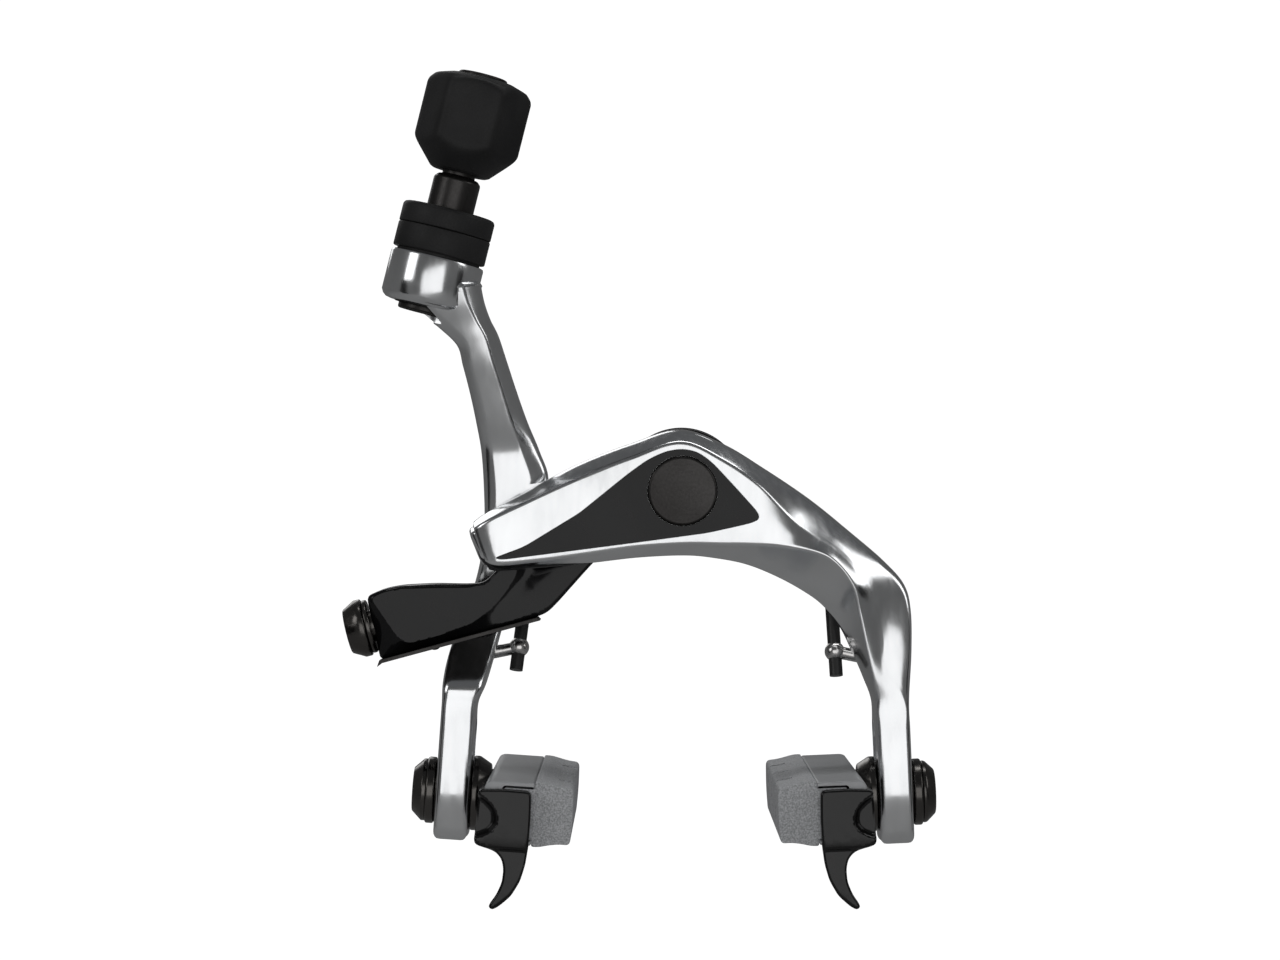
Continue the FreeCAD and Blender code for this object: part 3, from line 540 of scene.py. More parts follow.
BROAD_GRAIN, FLECK_GRAIN = 90, 3900
BROAD_DETAIL, FINE_DETAIL = 2.0, 4.0
FLECK_BLEND = 0.32


def finish(slot, metallic, rough, grain, depth, stretch=(1, 1, 1), tint=0.08, **sockets):
    """A procedural finish: two near tones, uneven roughness and a fine grain."""
    material, tree, shader = new_material(slot)
    shader.inputs["Metallic"].default_value = metallic
    for name, value in sockets.items():
        shader.inputs[name.replace("_", " ")].default_value = value
    colour = COLOUR_OF[slot]
    broad = noise(tree, BROAD_GRAIN, BROAD_DETAIL)
    fine = noise(tree, grain, FINE_DETAIL, stretch)
    tree.links.new(two_tone(tree, broad, colour, shaded(colour, tint)), shader.inputs["Base Color"])
    tree.links.new(between(tree, fine, *rough), shader.inputs["Roughness"])
    tree.links.new(bumped(tree, fine, depth), shader.inputs["Normal"])
    return material


def speckled(slot, rough, grain, depth, flecks, share, **sockets):
    """A moulded compound with pale flecks in it."""
    material = finish(slot, 0.0, rough, grain, depth, **sockets)
    tree = material.node_tree
    shader = tree.nodes["Principled BSDF"]
    colour = COLOUR_OF[slot]
    grains = noise(tree, FLECK_GRAIN, FINE_DETAIL)
    spots = two_tone(tree, grains, colour, flecks, share, share + FLECK_BLEND)
    tree.links.new(spots, shader.inputs["Base Color"])
    return material


def lathe_marked(slot, name, place, pitch, depth):
    """A turned face: the finish of a slot, with fine rings about a frame's axis."""
    material = MATERIALS[slot].copy()
    material.name = name
    tree = material.node_tree
    shader = tree.nodes["Principled BSDF"]
    centre = place.translation * MM
    coordinates = tree.nodes.new("ShaderNodeTexCoord")
    shift = tree.nodes.new("ShaderNodeVectorMath")
    shift.operation = "SUBTRACT"
    shift.inputs[1].default_value = centre
    tree.links.new(coordinates.outputs["Object"], shift.inputs[0])
    length = tree.nodes.new("ShaderNodeVectorMath")
    length.operation = "LENGTH"
    tree.links.new(shift.outputs[0], length.inputs[0])
    wave = tree.nodes.new("ShaderNodeMath")
    wave.operation = "MULTIPLY"
    wave.inputs[1].default_value = 2 * math.pi / (pitch * MM)
    tree.links.new(length.outputs["Value"], wave.inputs[0])
    sine = tree.nodes.new("ShaderNodeMath")
    sine.operation = "SINE"
    tree.links.new(wave.outputs[0], sine.inputs[0])
    tree.links.new(bumped(tree, sine.outputs[0], depth), shader.inputs["Normal"])
    return material


MATERIALS = {
    "polished_alloy": finish("polished_alloy", 1.0, (0.13, 0.22), 900, 0.0012, (1, 1, 0.25)),
    "black_lacquer": finish("black_lacquer", 0.0, (0.09, 0.15), 700, 0.001, IOR=1.36),
    "black_anodised": finish("black_anodised", 0.85, (0.30, 0.42), 2600, 0.002, tint=0.3),
    "black_nickel": finish("black_nickel", 1.0, (0.16, 0.28), 1800, 0.0015, tint=0.2),
    "black_grip": finish("black_grip", 0.0, (0.48, 0.62), 4200, 0.012, tint=0.2, IOR=1.4),
    "black_moulding": finish("black_moulding", 0.0, (0.08, 0.2), 900, 0.003, tint=0.1, IOR=1.42),
    "holder_grey": finish("holder_grey", 0.25, (0.34, 0.46), 3000, 0.006),
    "pad_compound": speckled("pad_compound", (0.62, 0.8), 3800, 0.03, (0.68, 0.69, 0.71), 0.34),
    "steel": finish("steel", 1.0, (0.16, 0.3), 1600, 0.0015, tint=0.05),
    "spring_steel": finish("spring_steel", 0.2, (0.3, 0.42), 2400, 0.004, tint=0.2),
    "bearing_polymer": finish("bearing_polymer", 0.0, (0.4, 0.55), 2400, 0.004, tint=0.1),
    "seal_rubber": finish("seal_rubber", 0.0, (0.5, 0.65), 3000, 0.006, tint=0.2),
}


# -- arms

# A section: where its outer and inner edge are in the front view, where the two front
# ridges stand between them (0 outer, 1 inner), and how far out its six corners are, going
# back, front, ridge, ridge, front, back.

def section(outer, inner, ridges, outs):
    parts = (0, 0, ridges[0], ridges[1], 1, 1)
    corners = []
    for part, out in zip(parts, outs):
        x = outer[0] + part * (inner[0] - outer[0])
        z = outer[1] + part * (inner[1] - outer[1])
        corners.append(tuple(spot(x, out, z)))
    return corners


LEG_HALF = 2.65
LEG_OUTS = (6.5, 19.0, 19.5, 19.5, 19.0, 6.5)
LEG_SIDES = (-1, -1, -0.78, 0.8, 1, 1)


def leg_section(side, drop, recede=0.0):
    """A section of the flat lower leg, square to the pad bolt and a drop below it."""
    place = PADS[side]
    corners = []
    for index, (across, out) in enumerate(zip(LEG_SIDES, LEG_OUTS)):
        if 0 < index < 5:
            out -= recede
        point = place @ Vector((-drop, 0, across * LEG_HALF))
        corners.append((point.x, -out, point.z))
    return corners


HUB_OUTS = (14.5, 20.3, 24.0, 23.8, 21.0, 14.5)

FRONT_ARM = [
    section((-33.4, -5.8), (-31.0, -11.8), (0.14, 0.80), (15.2, 18.2, 20.6, 20.6, 19.2, 15.2)),
    section((-31.7, -4.2), (-29.3, -12.4), (0.13, 0.86), (14.8, 18.2, 21.7, 21.7, 20.2, 14.8)),
    section((-24.2, -0.1), (-23.0, -12.0), (0.13, 0.91), (14.6, 18.8, 22.3, 22.2, 20.6, 14.6)),
    section((-16.5, 4.0), (-14.5, -11.2), (0.14, 0.91), (14.5, 19.5, 23.0, 22.8, 20.8, 14.5)),
    section((-8.0, 7.3), (-6.6, -10.3), (0.12, 0.91), HUB_OUTS),
    section((0.0, 9.5), (0.8, -10.0), (0.10, 0.91), HUB_OUTS),
    section((6.5, 7.2), (5.0, -10.4), (0.14, 0.88), HUB_OUTS),
    section((12.5, 3.6), (9.6, -11.3), (0.19, 0.80), (14.5, 20.0, 23.8, 23.8, 20.0, 14.5)),
    section((19.8, -1.3), (14.2, -13.1), (0.34, 0.62), (14.0, 19.0, 22.6, 23.5, 18.0, 14.0)),
    section((25.9, -6.2), (18.5, -15.4), (0.29, 0.44), (13.0, 18.2, 21.4, 23.0, 16.0, 13.0)),
    section((31.6, -11.1), (22.0, -17.9), (0.36, 0.54), (11.0, 17.8, 20.8, 22.2, 14.5, 12.0)),
    section((34.6, -14.6), (24.6, -21.0), (0.48, 0.72), (9.0, 18.2, 20.4, 21.4, 13.5, 10.8)),
    section((35.6, -18.5), (26.9, -25.5), (0.55, 0.82), (7.5, 18.8, 20.0, 20.7, 13.2, 9.0)),
    section((35.7, -25.0), (28.7, -29.5), (0.60, 0.88), (6.7, 19.2, 19.8, 20.1, 15.0, 7.6)),
    leg_section("right", -14.4),
    leg_section("right", -10.0),
    leg_section("right", -1.6),
    leg_section("right", 0.8, 0.18),
    leg_section("right", 7.6, 1.5),
]

REAR_ARM = [
    section((-43.0, 31.0), (-31.8, 33.0), (0.22, 0.78), (8.5, 18.5, 20.5, 20.5, 18.0, 8.5)),
    section((-41.0, 28.0), (-31.1, 29.6), (0.22, 0.78), (9.0, 18.0, 19.8, 19.8, 17.5, 9.0)),
    section((-37.8, 25.4), (-30.1, 26.8), (0.22, 0.76), (9.3, 17.2, 19.0, 19.0, 16.6, 9.3)),
    section((-35.2, 22.8), (-28.9, 24.4), (0.22, 0.74), (9.3, 16.4, 18.4, 18.4, 15.6, 9.3)),
    section((-34.3, 19.6), (-27.5, 20.2), (0.20, 0.72), (9.2, 15.6, 17.6, 17.6, 14.6, 9.2)),
    section((-33.2, 15.2), (-26.0, 15.6), (0.20, 0.72), (9.0, 14.8, 16.4, 16.4, 13.6, 9.0)),
    section((-32.3, 10.8), (-24.3, 10.8), (0.20, 0.70), (8.8, 13.8, 15.2, 15.2, 12.8, 8.8)),
    section((-31.5, 6.0), (-22.4, 6.2), (0.18, 0.70), (8.6, 12.8, 13.8, 13.8, 12.2, 8.6)),
    section((-31.1, -0.5), (-21.0, 1.5), (0.18, 0.72), (8.4, 12.6, 13.5, 13.5, 12.4, 8.4)),
    section((-31.1, -6.0), (-22.5, -5.6), (0.18, 0.76), (8.4, 12.6, 13.3, 13.3, 12.6, 8.4)),
    section((-31.8, -11.5), (-25.2, -12.5), (0.18, 0.80), (8.4, 12.6, 13.3, 13.3, 12.6, 8.4)),
    section((-33.2, -16.5), (-27.3, -18.0), (0.18, 0.82), (8.0, 11.8, 12.4, 12.4, 11.8, 8.0)),
    section((-35.2, -21.5), (-28.6, -22.6), (0.18, 0.82), (7.4, 13.2, 13.8, 13.8, 13.2, 7.4)),
    section((-36.7, -26.4), (-29.8, -26.8), (0.16, 0.84), (6.8, 15.8, 16.4, 16.4, 15.8, 6.8)),
    section((-37.3, -30.2), (-31.0, -30.6), (0.14, 0.86), (6.5, 18.6, 19.3, 19.3, 18.6, 6.5)),
    leg_section("left", -14.2),
    leg_section("left", -10.0),
    leg_section("left", -1.6),
    leg_section("left", 0.8, 0.18),
    leg_section("left", 7.2, 1.5),
]

RIDGE_RADII = (1.3, 1.1, 0.5, 0.5, 0.9, 1.3)
ARM_CROWN = 0.018
ARM_STEPS = 10
ARM_END_RADII = (0.9, 1.2)


def slot_tool(side):
    """The pad bolt's slot, with its mouths broken by a small chamfer."""
    half, below, above, chamfer, length, count = 3.3, 1.8, 8.2, 0.35, 8.0, 64
    rings = []
    for depth, extra in ((-length, 2.0), (-LEG_HALF, chamfer), (chamfer - LEG_HALF, 0.0),
                         (LEG_HALF - chamfer, 0.0), (LEG_HALF, chamfer), (length, 2.0)):
        radius = half + extra if abs(depth) <= LEG_HALF else half + chamfer
        ring = []
        for step in range(count):
            angle = 2 * math.pi * (step + 0.5) / count
            centre = above if math.cos(angle) > 0 else -below
            ring.append((centre + radius * math.cos(angle), radius * math.sin(angle), depth))
        rings.append(placed(PADS[side], ring))
    return skin(f"{side}_slot_tool", rings)


PANEL = [(-29.3, -10.4), (-24.5, -8.6), (-16.0, -3.4), (-8.6, 2.6), (-5.4, 4.9), (-2.6, 6.2),
         (0.0, 6.6), (2.4, 6.1), (4.6, 4.5), (8.6, 0.2), (11.8, -3.4), (11.9, -4.4),
         (10.6, -5.0), (4.0, -6.5), (-6.0, -7.9), (-17.0, -9.3), (-28.0, -10.7)]


PANEL_OUT, PANEL_FALL, PANEL_LEVEL_TO, PANEL_CURVE = 23.2, 0.0022, 6.0, 1.95
PANEL_MIDDLE = Vector((-6.0, -3.0))
PANEL_STATIONS = [-36.0 + 2.5 * step for step in range(21)]


def panel_floor(x):
    """How far out the floor of the panel's recess is: level on the right, falling to the left."""
    return PANEL_OUT - PANEL_FALL * max(0.0, PANEL_LEVEL_TO - x) ** PANEL_CURVE


def panel_slab(name, inset, low, high):
    """The panel's outline between two heights above the recess's floor."""
    corners = [corner + (PANEL_MIDDLE - corner).normalized() * inset for corner in map(Vector, PANEL)]
    outline = prism(name, PIVOT, round_corners(corners, 1.2), 15.0, 30.0)
    band = [(x, panel_floor(x) + low) for x in PANEL_STATIONS]
    band += [(x, panel_floor(x) + high) for x in reversed(PANEL_STATIONS)]
    ends = [[spot(x, out, z) for x, out in band] for z in (-20.0, 15.0)]
    return boolean(outline, "INTERSECT", [skin(name + "_band", ends)])


HUB_RADIUS, HUB_FRONT, BORE_RADIUS = 9.0, 20.9, 5.2
LINK_POCKET = [(-36.0, -16.0), (-36.0, -8.2), (-29.4, -8.2), (-29.4, -4.7), (-23.0, -3.0), (-17.2, -0.9),
               (-11.0, 1.2), (-8.0, -1.0), (-8.0, -6.2), (-6.4, -16.0)]


def make_front_arm():
    arm = limb("front_arm_forging", FRONT_ARM, RIDGE_RADII, ARM_CROWN, ARM_STEPS, ARM_END_RADII)
    boolean(arm, "UNION", [drum("front_hub", PIVOT, HUB_RADIUS, 14.4, HUB_FRONT)])
    pocket = prism("link_pocket", PIVOT, LINK_POCKET, 10.0, 18.5)
    boolean(pocket, "DIFFERENCE", [drum("pocket_hub", PIVOT, 9.9, 9.0, 20.0)])
    boolean(arm, "DIFFERENCE", [
        drum("front_bore", PIVOT, BORE_RADIUS, 9.0, 28.0),
        drum("cap_pocket", PIVOT, 5.5, HUB_FRONT, 28.0),
        panel_slab("panel_recess", 0.0, 0.0, 6.0),
        pocket,
        drum("roller_hole", out_at(-25.5, -7.5), 1.2, 10.0, 20.3, 32),
        slot_tool("right"),
    ])
    stand_in(sharp_by_angle(arm), "front_arm")
    panel = panel_slab("front_arm_panel", 0.06, 0.02, 0.24)
    boolean(panel, "DIFFERENCE", [drum("panel_hole", PIVOT, 5.43, 15.0, 30.0)])
    bevelled(panel, 0.04, 2, 40)
    finish_piece(panel, "front_arm", "black_lacquer")


WEB = [(-1.5, 8.6), (-4.5, 7.7), (-11.0, 5.1), (-20.0, 1.6), (-27.0, 0.5), (-27.5, -9.5), (-24.8, -11.6),
       (-15.0, -10.0), (-1.5, -8.6)]
CUP_RADIUS, CUP_DEPTH = 7.4, 7.8
CUP_PROFILE = [
    (-CUP_DEPTH, 1.6), (-CUP_DEPTH + 0.15, 0.9), (-CUP_DEPTH + 0.55, 0.35), (-CUP_DEPTH + 1.2, 0.0),
    (-4.0, 0.0), (-0.45, 0.0), (-0.12, 0.12), (0.0, 0.45)]


def make_rear_arm():
    arm = limb("rear_arm_forging", REAR_ARM, RIDGE_RADII, ARM_CROWN, ARM_STEPS, ARM_END_RADII)
    web = prism("web", PIVOT, round_corners(WEB, 1.5), 8.4, 13.5)
    cup_rings = [placed(ADJUSTER, circle(CUP_RADIUS - inset, level, 128)) for level, inset in CUP_PROFILE]
    cup = skin("cup", cup_rings)
    boolean(arm, "UNION", [web, drum("rear_hub", PIVOT, HUB_RADIUS, 8.4, 13.9), cup])
    pin = joint_spot("link_turn")
    boolean(arm, "DIFFERENCE", [
        drum("rear_bore", PIVOT, BORE_RADIUS, 3.0, 20.0),
        drum("cup_bore", ADJUSTER, 5.0, -10.0, 3.0),
        drum("cable_way", ADJUSTER, 2.4, -16.0, 1.0, 48),
        drum("pin_hole", out_at(pin.x, pin.z), 1.8, 5.0, 16.0, 48),
        drum("pin_seat", out_at(pin.x, pin.z), 2.3, 5.0, 8.8, 48),
        slot_tool("left"),
    ])
    stand_in(sharp_by_angle(arm), "rear_arm")


# -- cam link

def base_height(x):
    """The straight lower edge of the link, where its base plate lies."""
    return -19.6 + 0.27 * (x + 22.5)


LINK_PIN = joint_spot("link_turn")
LINK_EYE_RADIUS, EYE_BORE, EYE_SEAT = 3.4, 1.83, 2.75
LEVER_BORE, ANCHOR_BORE = 1.5, 2.5
LINK_EYE = [(LINK_PIN.x + LINK_EYE_RADIUS * math.cos(turn), LINK_PIN.z + LINK_EYE_RADIUS * math.sin(turn))
            for turn in map(math.radians, range(135, -55, -15))]
LINK_OUTLINE = [
    (-48.9, -16.3), (-46.4, -15.2), (-43.5, -14.65), (-38.5, -14.4), (-33.5, -14.5), (-30.8, -14.3),
    (-28.0, -11.42), (-19.0, -7.15)] + LINK_EYE + [
    (-14.4, -11.8), (-17.0, -14.7), (-19.3, -17.3), (-21.0, -19.0), (-22.9, base_height(-22.9)),
    (-46.95, base_height(-46.95))]
PLATEAU = [
    (-48.3, -16.6), (-46.2, -15.6), (-43.5, -15.0), (-38.5, -14.75), (-33.5, -14.85), (-30.5, -14.5),
    (-28.6, -12.4), (-25.4, -10.6), (-25.9, -13.4), (-27.6, -16.0), (-29.9, -18.6), (-32.7, -20.7),
    (-37.6, -22.4), (-42.3, -23.6), (-43.9, -23.0)]
LOBE_BAND = [(-13.5, -8.0), (-17.5, -13.0), (-21.5, -16.9), (-26.5, -20.0)]
LINK_RADII = [0.9] + [1.2] * 5 + [0.4] * (2 + len(LINK_EYE)) + [1.2] * 4 + [0.6, 0.6]
LINK_TOP, LINK_LOW, LINK_BACK = 21.5, 18.25, 14.2
RAMP_START, RAMP_LENGTH = -46.0, 16.0
LOBE_FALL, LOBE_REACH, SCOOP_LENGTH = 0.05, 4.5, 1.5
FACET_SLOPE, FACET_FROM, FACET_BLEND = 0.62, -42.2, 1.6
PLATEAU_LINE = spaced(round_corners(PLATEAU, 0.9), 0.35)


def plateau_level(x):
    return LINK_TOP - (LINK_TOP - LINK_LOW) * np.clip((x - RAMP_START) / RAMP_LENGTH, 0, 1)


def link_height(spots):
    """How far out the link's face is: a plateau that sinks to the right, over a scooped slope."""
    gaps, nearest = distance_to(spots, PLATEAU_LINE)
    outside = ~inside(spots, PLATEAU_LINE)
    edge_level = plateau_level(nearest[:, 0])
    band, _ = distance_to(spots, LOBE_BAND, closed=False)
    lobe = LINK_LOW - LOBE_FALL * np.minimum(band, LOBE_REACH) ** 2
    scooped = lobe + (edge_level - lobe) * np.exp(-gaps / SCOOP_LENGTH)
    facet = edge_level - FACET_SLOPE * gaps
    leftward = smooth_step((FACET_FROM - nearest[:, 0]) / FACET_BLEND)
    slope = scooped * (1 - leftward) + facet * leftward
    return np.where(outside, slope, plateau_level(spots[:, 0]))


def front_point(x, z, out):
    """The front view's order of a point, as the relief tool gives it."""
    return spot(x, out, z)


def anchor_frame():
    """The anchor bolt's frame: square to the adjuster, at the foot of the clamp washer."""
    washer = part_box("cable_clamp_washer")
    middle = (Vector(washer[0]) + Vector(washer[1])) / 2 / MM
    lean = ADJUSTER.to_3x3() @ Vector((0, 0, 1))
    along = Vector((-lean.z, 0, -lean.x))
    return axes(middle - along * 0.45, (0, 1, 0), along)


def make_link():
    """The lacquered link, sculpted on its face and flat behind."""
    creases = [inset_line(PLATEAU_LINE, inset) for inset in (0, 0.16, -0.16)]
    outline = round_corners(LINK_OUTLINE, LINK_RADII)
    shell = relief("link_shell", outline, creases, link_height, LINK_BACK, front_point)
    lever = joint_spot("quick_release_turn")
    boolean(shell, "DIFFERENCE", [
        drum("eye_bore", out_at(LINK_PIN.x, LINK_PIN.z), EYE_BORE, 10.0, 22.0, 48),
        drum("eye_seat", out_at(LINK_PIN.x, LINK_PIN.z), EYE_SEAT, 17.4, 22.0, 48),
        drum("lever_hole", out_at(lever.x, lever.z), LEVER_BORE, 12.0, 14.9, 48),
        drum("anchor_hole", anchor_frame(), ANCHOR_BORE, -9.2, 2.0, 48),
    ])
    stand_in(sharp_by_angle(shell, 50), "link_body")


# -- moulded pieces

KNOB_LOW, KNOB_HIGH, KNOB_APOTHEM = 13.7, 28.9, 7.45
KNOB_ENVELOPE = [(KNOB_LOW, 4.2), (KNOB_LOW + 0.25, 4.75), (KNOB_LOW + 4.7, 8.9), (26.6, 9.1), (28.2, 7.3),
                 (KNOB_HIGH, 5.1)]
KNOB_BLEND = 26
KNOB_ROWS = 70
KNOB_COLUMNS = 144
BARREL_BORE, FERRULE_BORE, BORE_STEP = 2.62, 3.05, 22.05


def knob_radius(angle, limit):
    """The knob's radius, where its faces and its turned envelope melt into each other."""
    total = limit ** -KNOB_BLEND
    for face in range(6):
        facing = math.cos(angle - math.radians(30 + 60 * face))
        if facing > 0:
            total += (facing / KNOB_APOTHEM) ** KNOB_BLEND
    return total ** (-1 / KNOB_BLEND)


def make_knob():
    """The six-sided grip, bored for the barrel below and the ferrule above."""
    rings = [circle(BARREL_BORE, BORE_STEP, KNOB_COLUMNS), circle(BARREL_BORE, KNOB_LOW, KNOB_COLUMNS)]
    for row in range(KNOB_ROWS + 1):
        rise = (1 - math.cos(math.pi * row / KNOB_ROWS)) / 2
        height = KNOB_LOW + 0.02 + (KNOB_HIGH - KNOB_LOW - 0.02) * rise
        limit = float(np.interp(height, *zip(*KNOB_ENVELOPE)))
        ring = []
        for angle in turn_steps(KNOB_COLUMNS):
            radius = knob_radius(angle, limit)
            ring.append((radius * math.cos(angle), radius * math.sin(angle), height))
        rings.append(ring)
    rings += [circle(FERRULE_BORE, KNOB_HIGH, KNOB_COLUMNS), circle(FERRULE_BORE, BORE_STEP, KNOB_COLUMNS)]
    knob = skin("grip_knob", [placed(ADJUSTER, ring) for ring in rings], looped=True)
    stand_in(sharp_by_angle(knob, 50), "adjuster_knob")


GUIDE_OUTLINE = [
    (4.9, 3.1), (8.5, 3.35), (12.4, 3.3), (12.8, 2.8), (12.95, -1.0), (12.9, -5.0), (12.6, -7.9),
    (12.0, -10.3), (10.8, -12.6), (9.1, -14.25), (8.1, -14.85), (7.55, -14.45), (7.7, -13.9), (8.6, -12.5),
    (9.3, -10.6), (9.4, -8.6), (9.0, -7.1), (8.0, -6.1), (6.4, -5.6), (5.0, -5.2), (4.7, -4.6)]
SCALLOP = [(4.2, 2.9), (5.3, 2.4), (6.6, 1.5), (7.6, 0.5), (8.1, -1.0), (8.0, -2.2), (7.1, -3.4), (5.6, -4.1),
           (4.2, -4.4)]
SCALLOP_LINE = spaced(round_corners(SCALLOP, 0.6), 0.25)
SCALLOP_BEVEL = 0.8
GUIDE_WALL, GUIDE_FIN, GUIDE_FLOOR, GUIDE_BACK = 28.9, 28.2, 27.45, 27.1
WALL_CROWN, WALL_MIDDLE, WALL_HALF = 0.22, -1.0, 4.4
FIN_CROWN, FIN_MIDDLE, FIN_HALF = 0.05, -9.0, 3.0
LIP_HEIGHT = -5.4
LIP_DROPS = (0.0, 0.22, 0.45)
STRAP_SECTION = [(-4.3, 4.9), (2.7, 4.9), (2.7, 5.65), (-4.3, 5.65)]
STRAP_FRONT, STRAP_REAR, STRAP_RIM = 27.3, 7.0, 0.15


def frontward(side):
    """+1 or -1: the way along a pad's local Y axis that leads to the front."""
    along = PADS[side].to_3x3() @ Vector((0, 1, 0))
    return -1 if along.y > 0 else 1


def guide_height(spots):
    """The guide's face: a crowned wall, a scooped side behind a bevel, and a lower fin."""
    inward, up = spots.T
    wall = GUIDE_WALL - WALL_CROWN * ((up - WALL_MIDDLE) / WALL_HALF) ** 2
    fin = GUIDE_FIN - FIN_CROWN * (up - FIN_MIDDLE) ** 2 / FIN_HALF ** 2
    face = wall + (fin - wall) * smooth_step((LIP_HEIGHT - up) / LIP_DROPS[-1])
    gaps, _ = distance_to(spots, SCALLOP_LINE)
    scooped = np.where(inside(spots, SCALLOP_LINE), gaps, 0.0)
    return face + (GUIDE_FLOOR - face) * smooth_step(scooped / SCALLOP_BEVEL)


def make_guide(side):
    """The glossy wheel guide on the holder's front end, with its strap along the holder."""
    place = PADS[side]
    sign = frontward(side)

    def into(inward, up, level):
        return place @ Vector((up, sign * level, inward))

    lip = spaced([(5.5, LIP_HEIGHT), (13.0, LIP_HEIGHT)], 0.3, closed=False)
    lines = [inset_line(SCALLOP_LINE, inset) for inset in (0, 0.3, 0.6)]
    lines += [lip - (0, drop) for drop in LIP_DROPS]
    guide = relief(f"{side}_guide", round_corners(GUIDE_OUTLINE, 0.7), lines, guide_height, GUIDE_BACK,
                   into, gap=0.3, rim=0.4)
    stand_in(sharp_by_angle(guide, 60), f"{side}_wheel_guide")
    strap = bar(f"{side}_guide_strap", place, round_corners(STRAP_SECTION, 0.2),
                sign * STRAP_FRONT, sign * STRAP_REAR, STRAP_RIM)
    finish_piece(sharp_by_angle(strap, 50), BODY_OF[f"{side}_wheel_guide"], "black_moulding")


HOLDER_SECTION = [
    (-5.0, 5.7), (-5.0, 13.2), (-4.2, 13.2), (-4.2, 8.6), (3.6, 8.6), (3.6, 13.2), (4.4, 13.2), (4.4, 5.7)]
HOLDER_RADII = [1.4, 0.35, 0.25, 0.3, 0.3, 0.25, 0.35, 1.4]
PAD_SECTION = [
    (-4.1, 8.7), (-4.1, 13.1), (-5.15, 13.3), (-5.1, 14.5), (-4.75, 15.8), (-4.5, 17.4), (-4.55, 19.05),
    (-0.5, 19.2), (3.9, 19.05), (4.0, 17.4), (4.35, 15.8), (4.65, 14.5), (4.65, 13.3), (3.5, 13.1),
    (3.5, 8.7)]
PAD_RADII = [0.2, 0.2, 0.3, 0.6, 0.8, 0.8, 0.9, 3.0, 0.9, 0.8, 0.8, 0.6, 0.3, 0.2, 0.2]
TONGUE_SECTION = [(-4.12, 8.68), (-4.12, 13.6), (3.52, 13.6), (3.52, 8.68)]
GROOVE_SECTION = [(-8.0, 16.4), (8.0, 16.4), (8.0, 22.0), (-8.0, 22.0)]
PAD_GROOVES = (-14.0, 0.0, 14.0)
GROOVE_HALF = 0.9
HOLDER_HALF = 27.0
BLOCK_HALF = HOLDER_HALF - 0.2
TONGUE_HALF = HOLDER_HALF + 0.05
HOLDER_RIM, BLOCK_RIM = 0.2, 0.15


def pad_bar(side, name, section, radii, half, rim):
    """A bar along one side's pad, as far each way from its middle."""
    return bar(f"{side}_{name}", PADS[side], round_corners(section, radii), -half, half, rim)


def make_pad(side):
    """The holder as a rounded channel, the block in it, and a tongue that covers the joint of their ends."""
    holder = pad_bar(side, "holder", HOLDER_SECTION, HOLDER_RADII, HOLDER_HALF, HOLDER_RIM)
    stand_in(sharp_by_angle(holder, 40), f"{side}_pad_holder")
    block = pad_bar(side, "block", PAD_SECTION, PAD_RADII, BLOCK_HALF, BLOCK_RIM)
    grooves = []
    for middle in PAD_GROOVES:
        near, far = middle - GROOVE_HALF, middle + GROOVE_HALF
        ends = [placed(PADS[side], [(up, level, inward) for up, inward in GROOVE_SECTION])
                for level in (near, far)]
        grooves.append(skin("groove", ends))
    boolean(block, "DIFFERENCE", grooves)
    stand_in(sharp_by_angle(block, 40), f"{side}_brake_pad")
    tongue = pad_bar(side, "pad_tongue", TONGUE_SECTION, 0.3, TONGUE_HALF, BLOCK_RIM)
    finish_piece(sharp_by_angle(tongue, 40), BODY_OF[f"{side}_brake_pad"], SLOT_OF[f"{side}_brake_pad"])


# -- hardware

EDGES = {
    "seat_washer": 0.2, "spring_spool": 0.25, "pivot_nut": 0.15, "link_base_plate": 0.06,
    "link_pivot_pin": 0.15, "cam_roller": 0.12, "cam_roller_pin": 0.1,
    "cable_anchor_bolt": 0.25, "cable_clamp_washer": 0.12, "quick_release_lever": 0.4,
    "quick_release_pin": 0.15, "adjuster_clip": 0.1, "adjuster_barrel": 0.25, "housing_ferrule": 0.15,
    "left_spring_eye": 0.12, "right_spring_eye": 0.12,
}
PAD_EDGES = {
    "inner_dome_washer": 0.15, "outer_dome_washer": 0.15, "inner_cup_washer": 0.2,
    "outer_cup_washer": 0.2, "pad_bolt": 0.25, "pad_screw": 0.15,
}
COLLAR, SPIGOT, SLEEVE = 7.35, 4.98, 3.77


def make_collars():
    """The adjuster's two stacked collars, with flat sides and a tight seam."""
    base = turned("collar_base", ADJUSTER, [
        (SLEEVE, -7.95), (SPIGOT, -7.95), (SPIGOT, 0.0), (6.6, 0.0), (6.6, 0.4), (COLLAR - 0.25, 0.42),
        (COLLAR - 0.07, 0.5), (COLLAR, 0.68), (COLLAR, 4.12), (COLLAR - 0.04, 4.24), (COLLAR - 0.14, 4.3),
        (SLEEVE, 4.3)])
    stand_in(sharp_by_angle(base, 50), "adjuster_base")
    ring = turned("collar_ring", ADJUSTER, [
        (SLEEVE, 4.4), (COLLAR - 0.14, 4.4), (COLLAR - 0.04, 4.46), (COLLAR, 4.58), (COLLAR, 7.05),
        (COLLAR - 0.08, 7.32), (COLLAR - 0.27, 7.56), (COLLAR - 0.6, 7.68), (COLLAR - 0.9, 7.7), (4.8, 7.7),
        (SLEEVE, 7.2), (SLEEVE, 6.7), (4.7, 6.7), (4.7, 5.7), (SLEEVE, 5.7)])
    stand_in(sharp_by_angle(ring, 50), "adjuster_lock_ring")


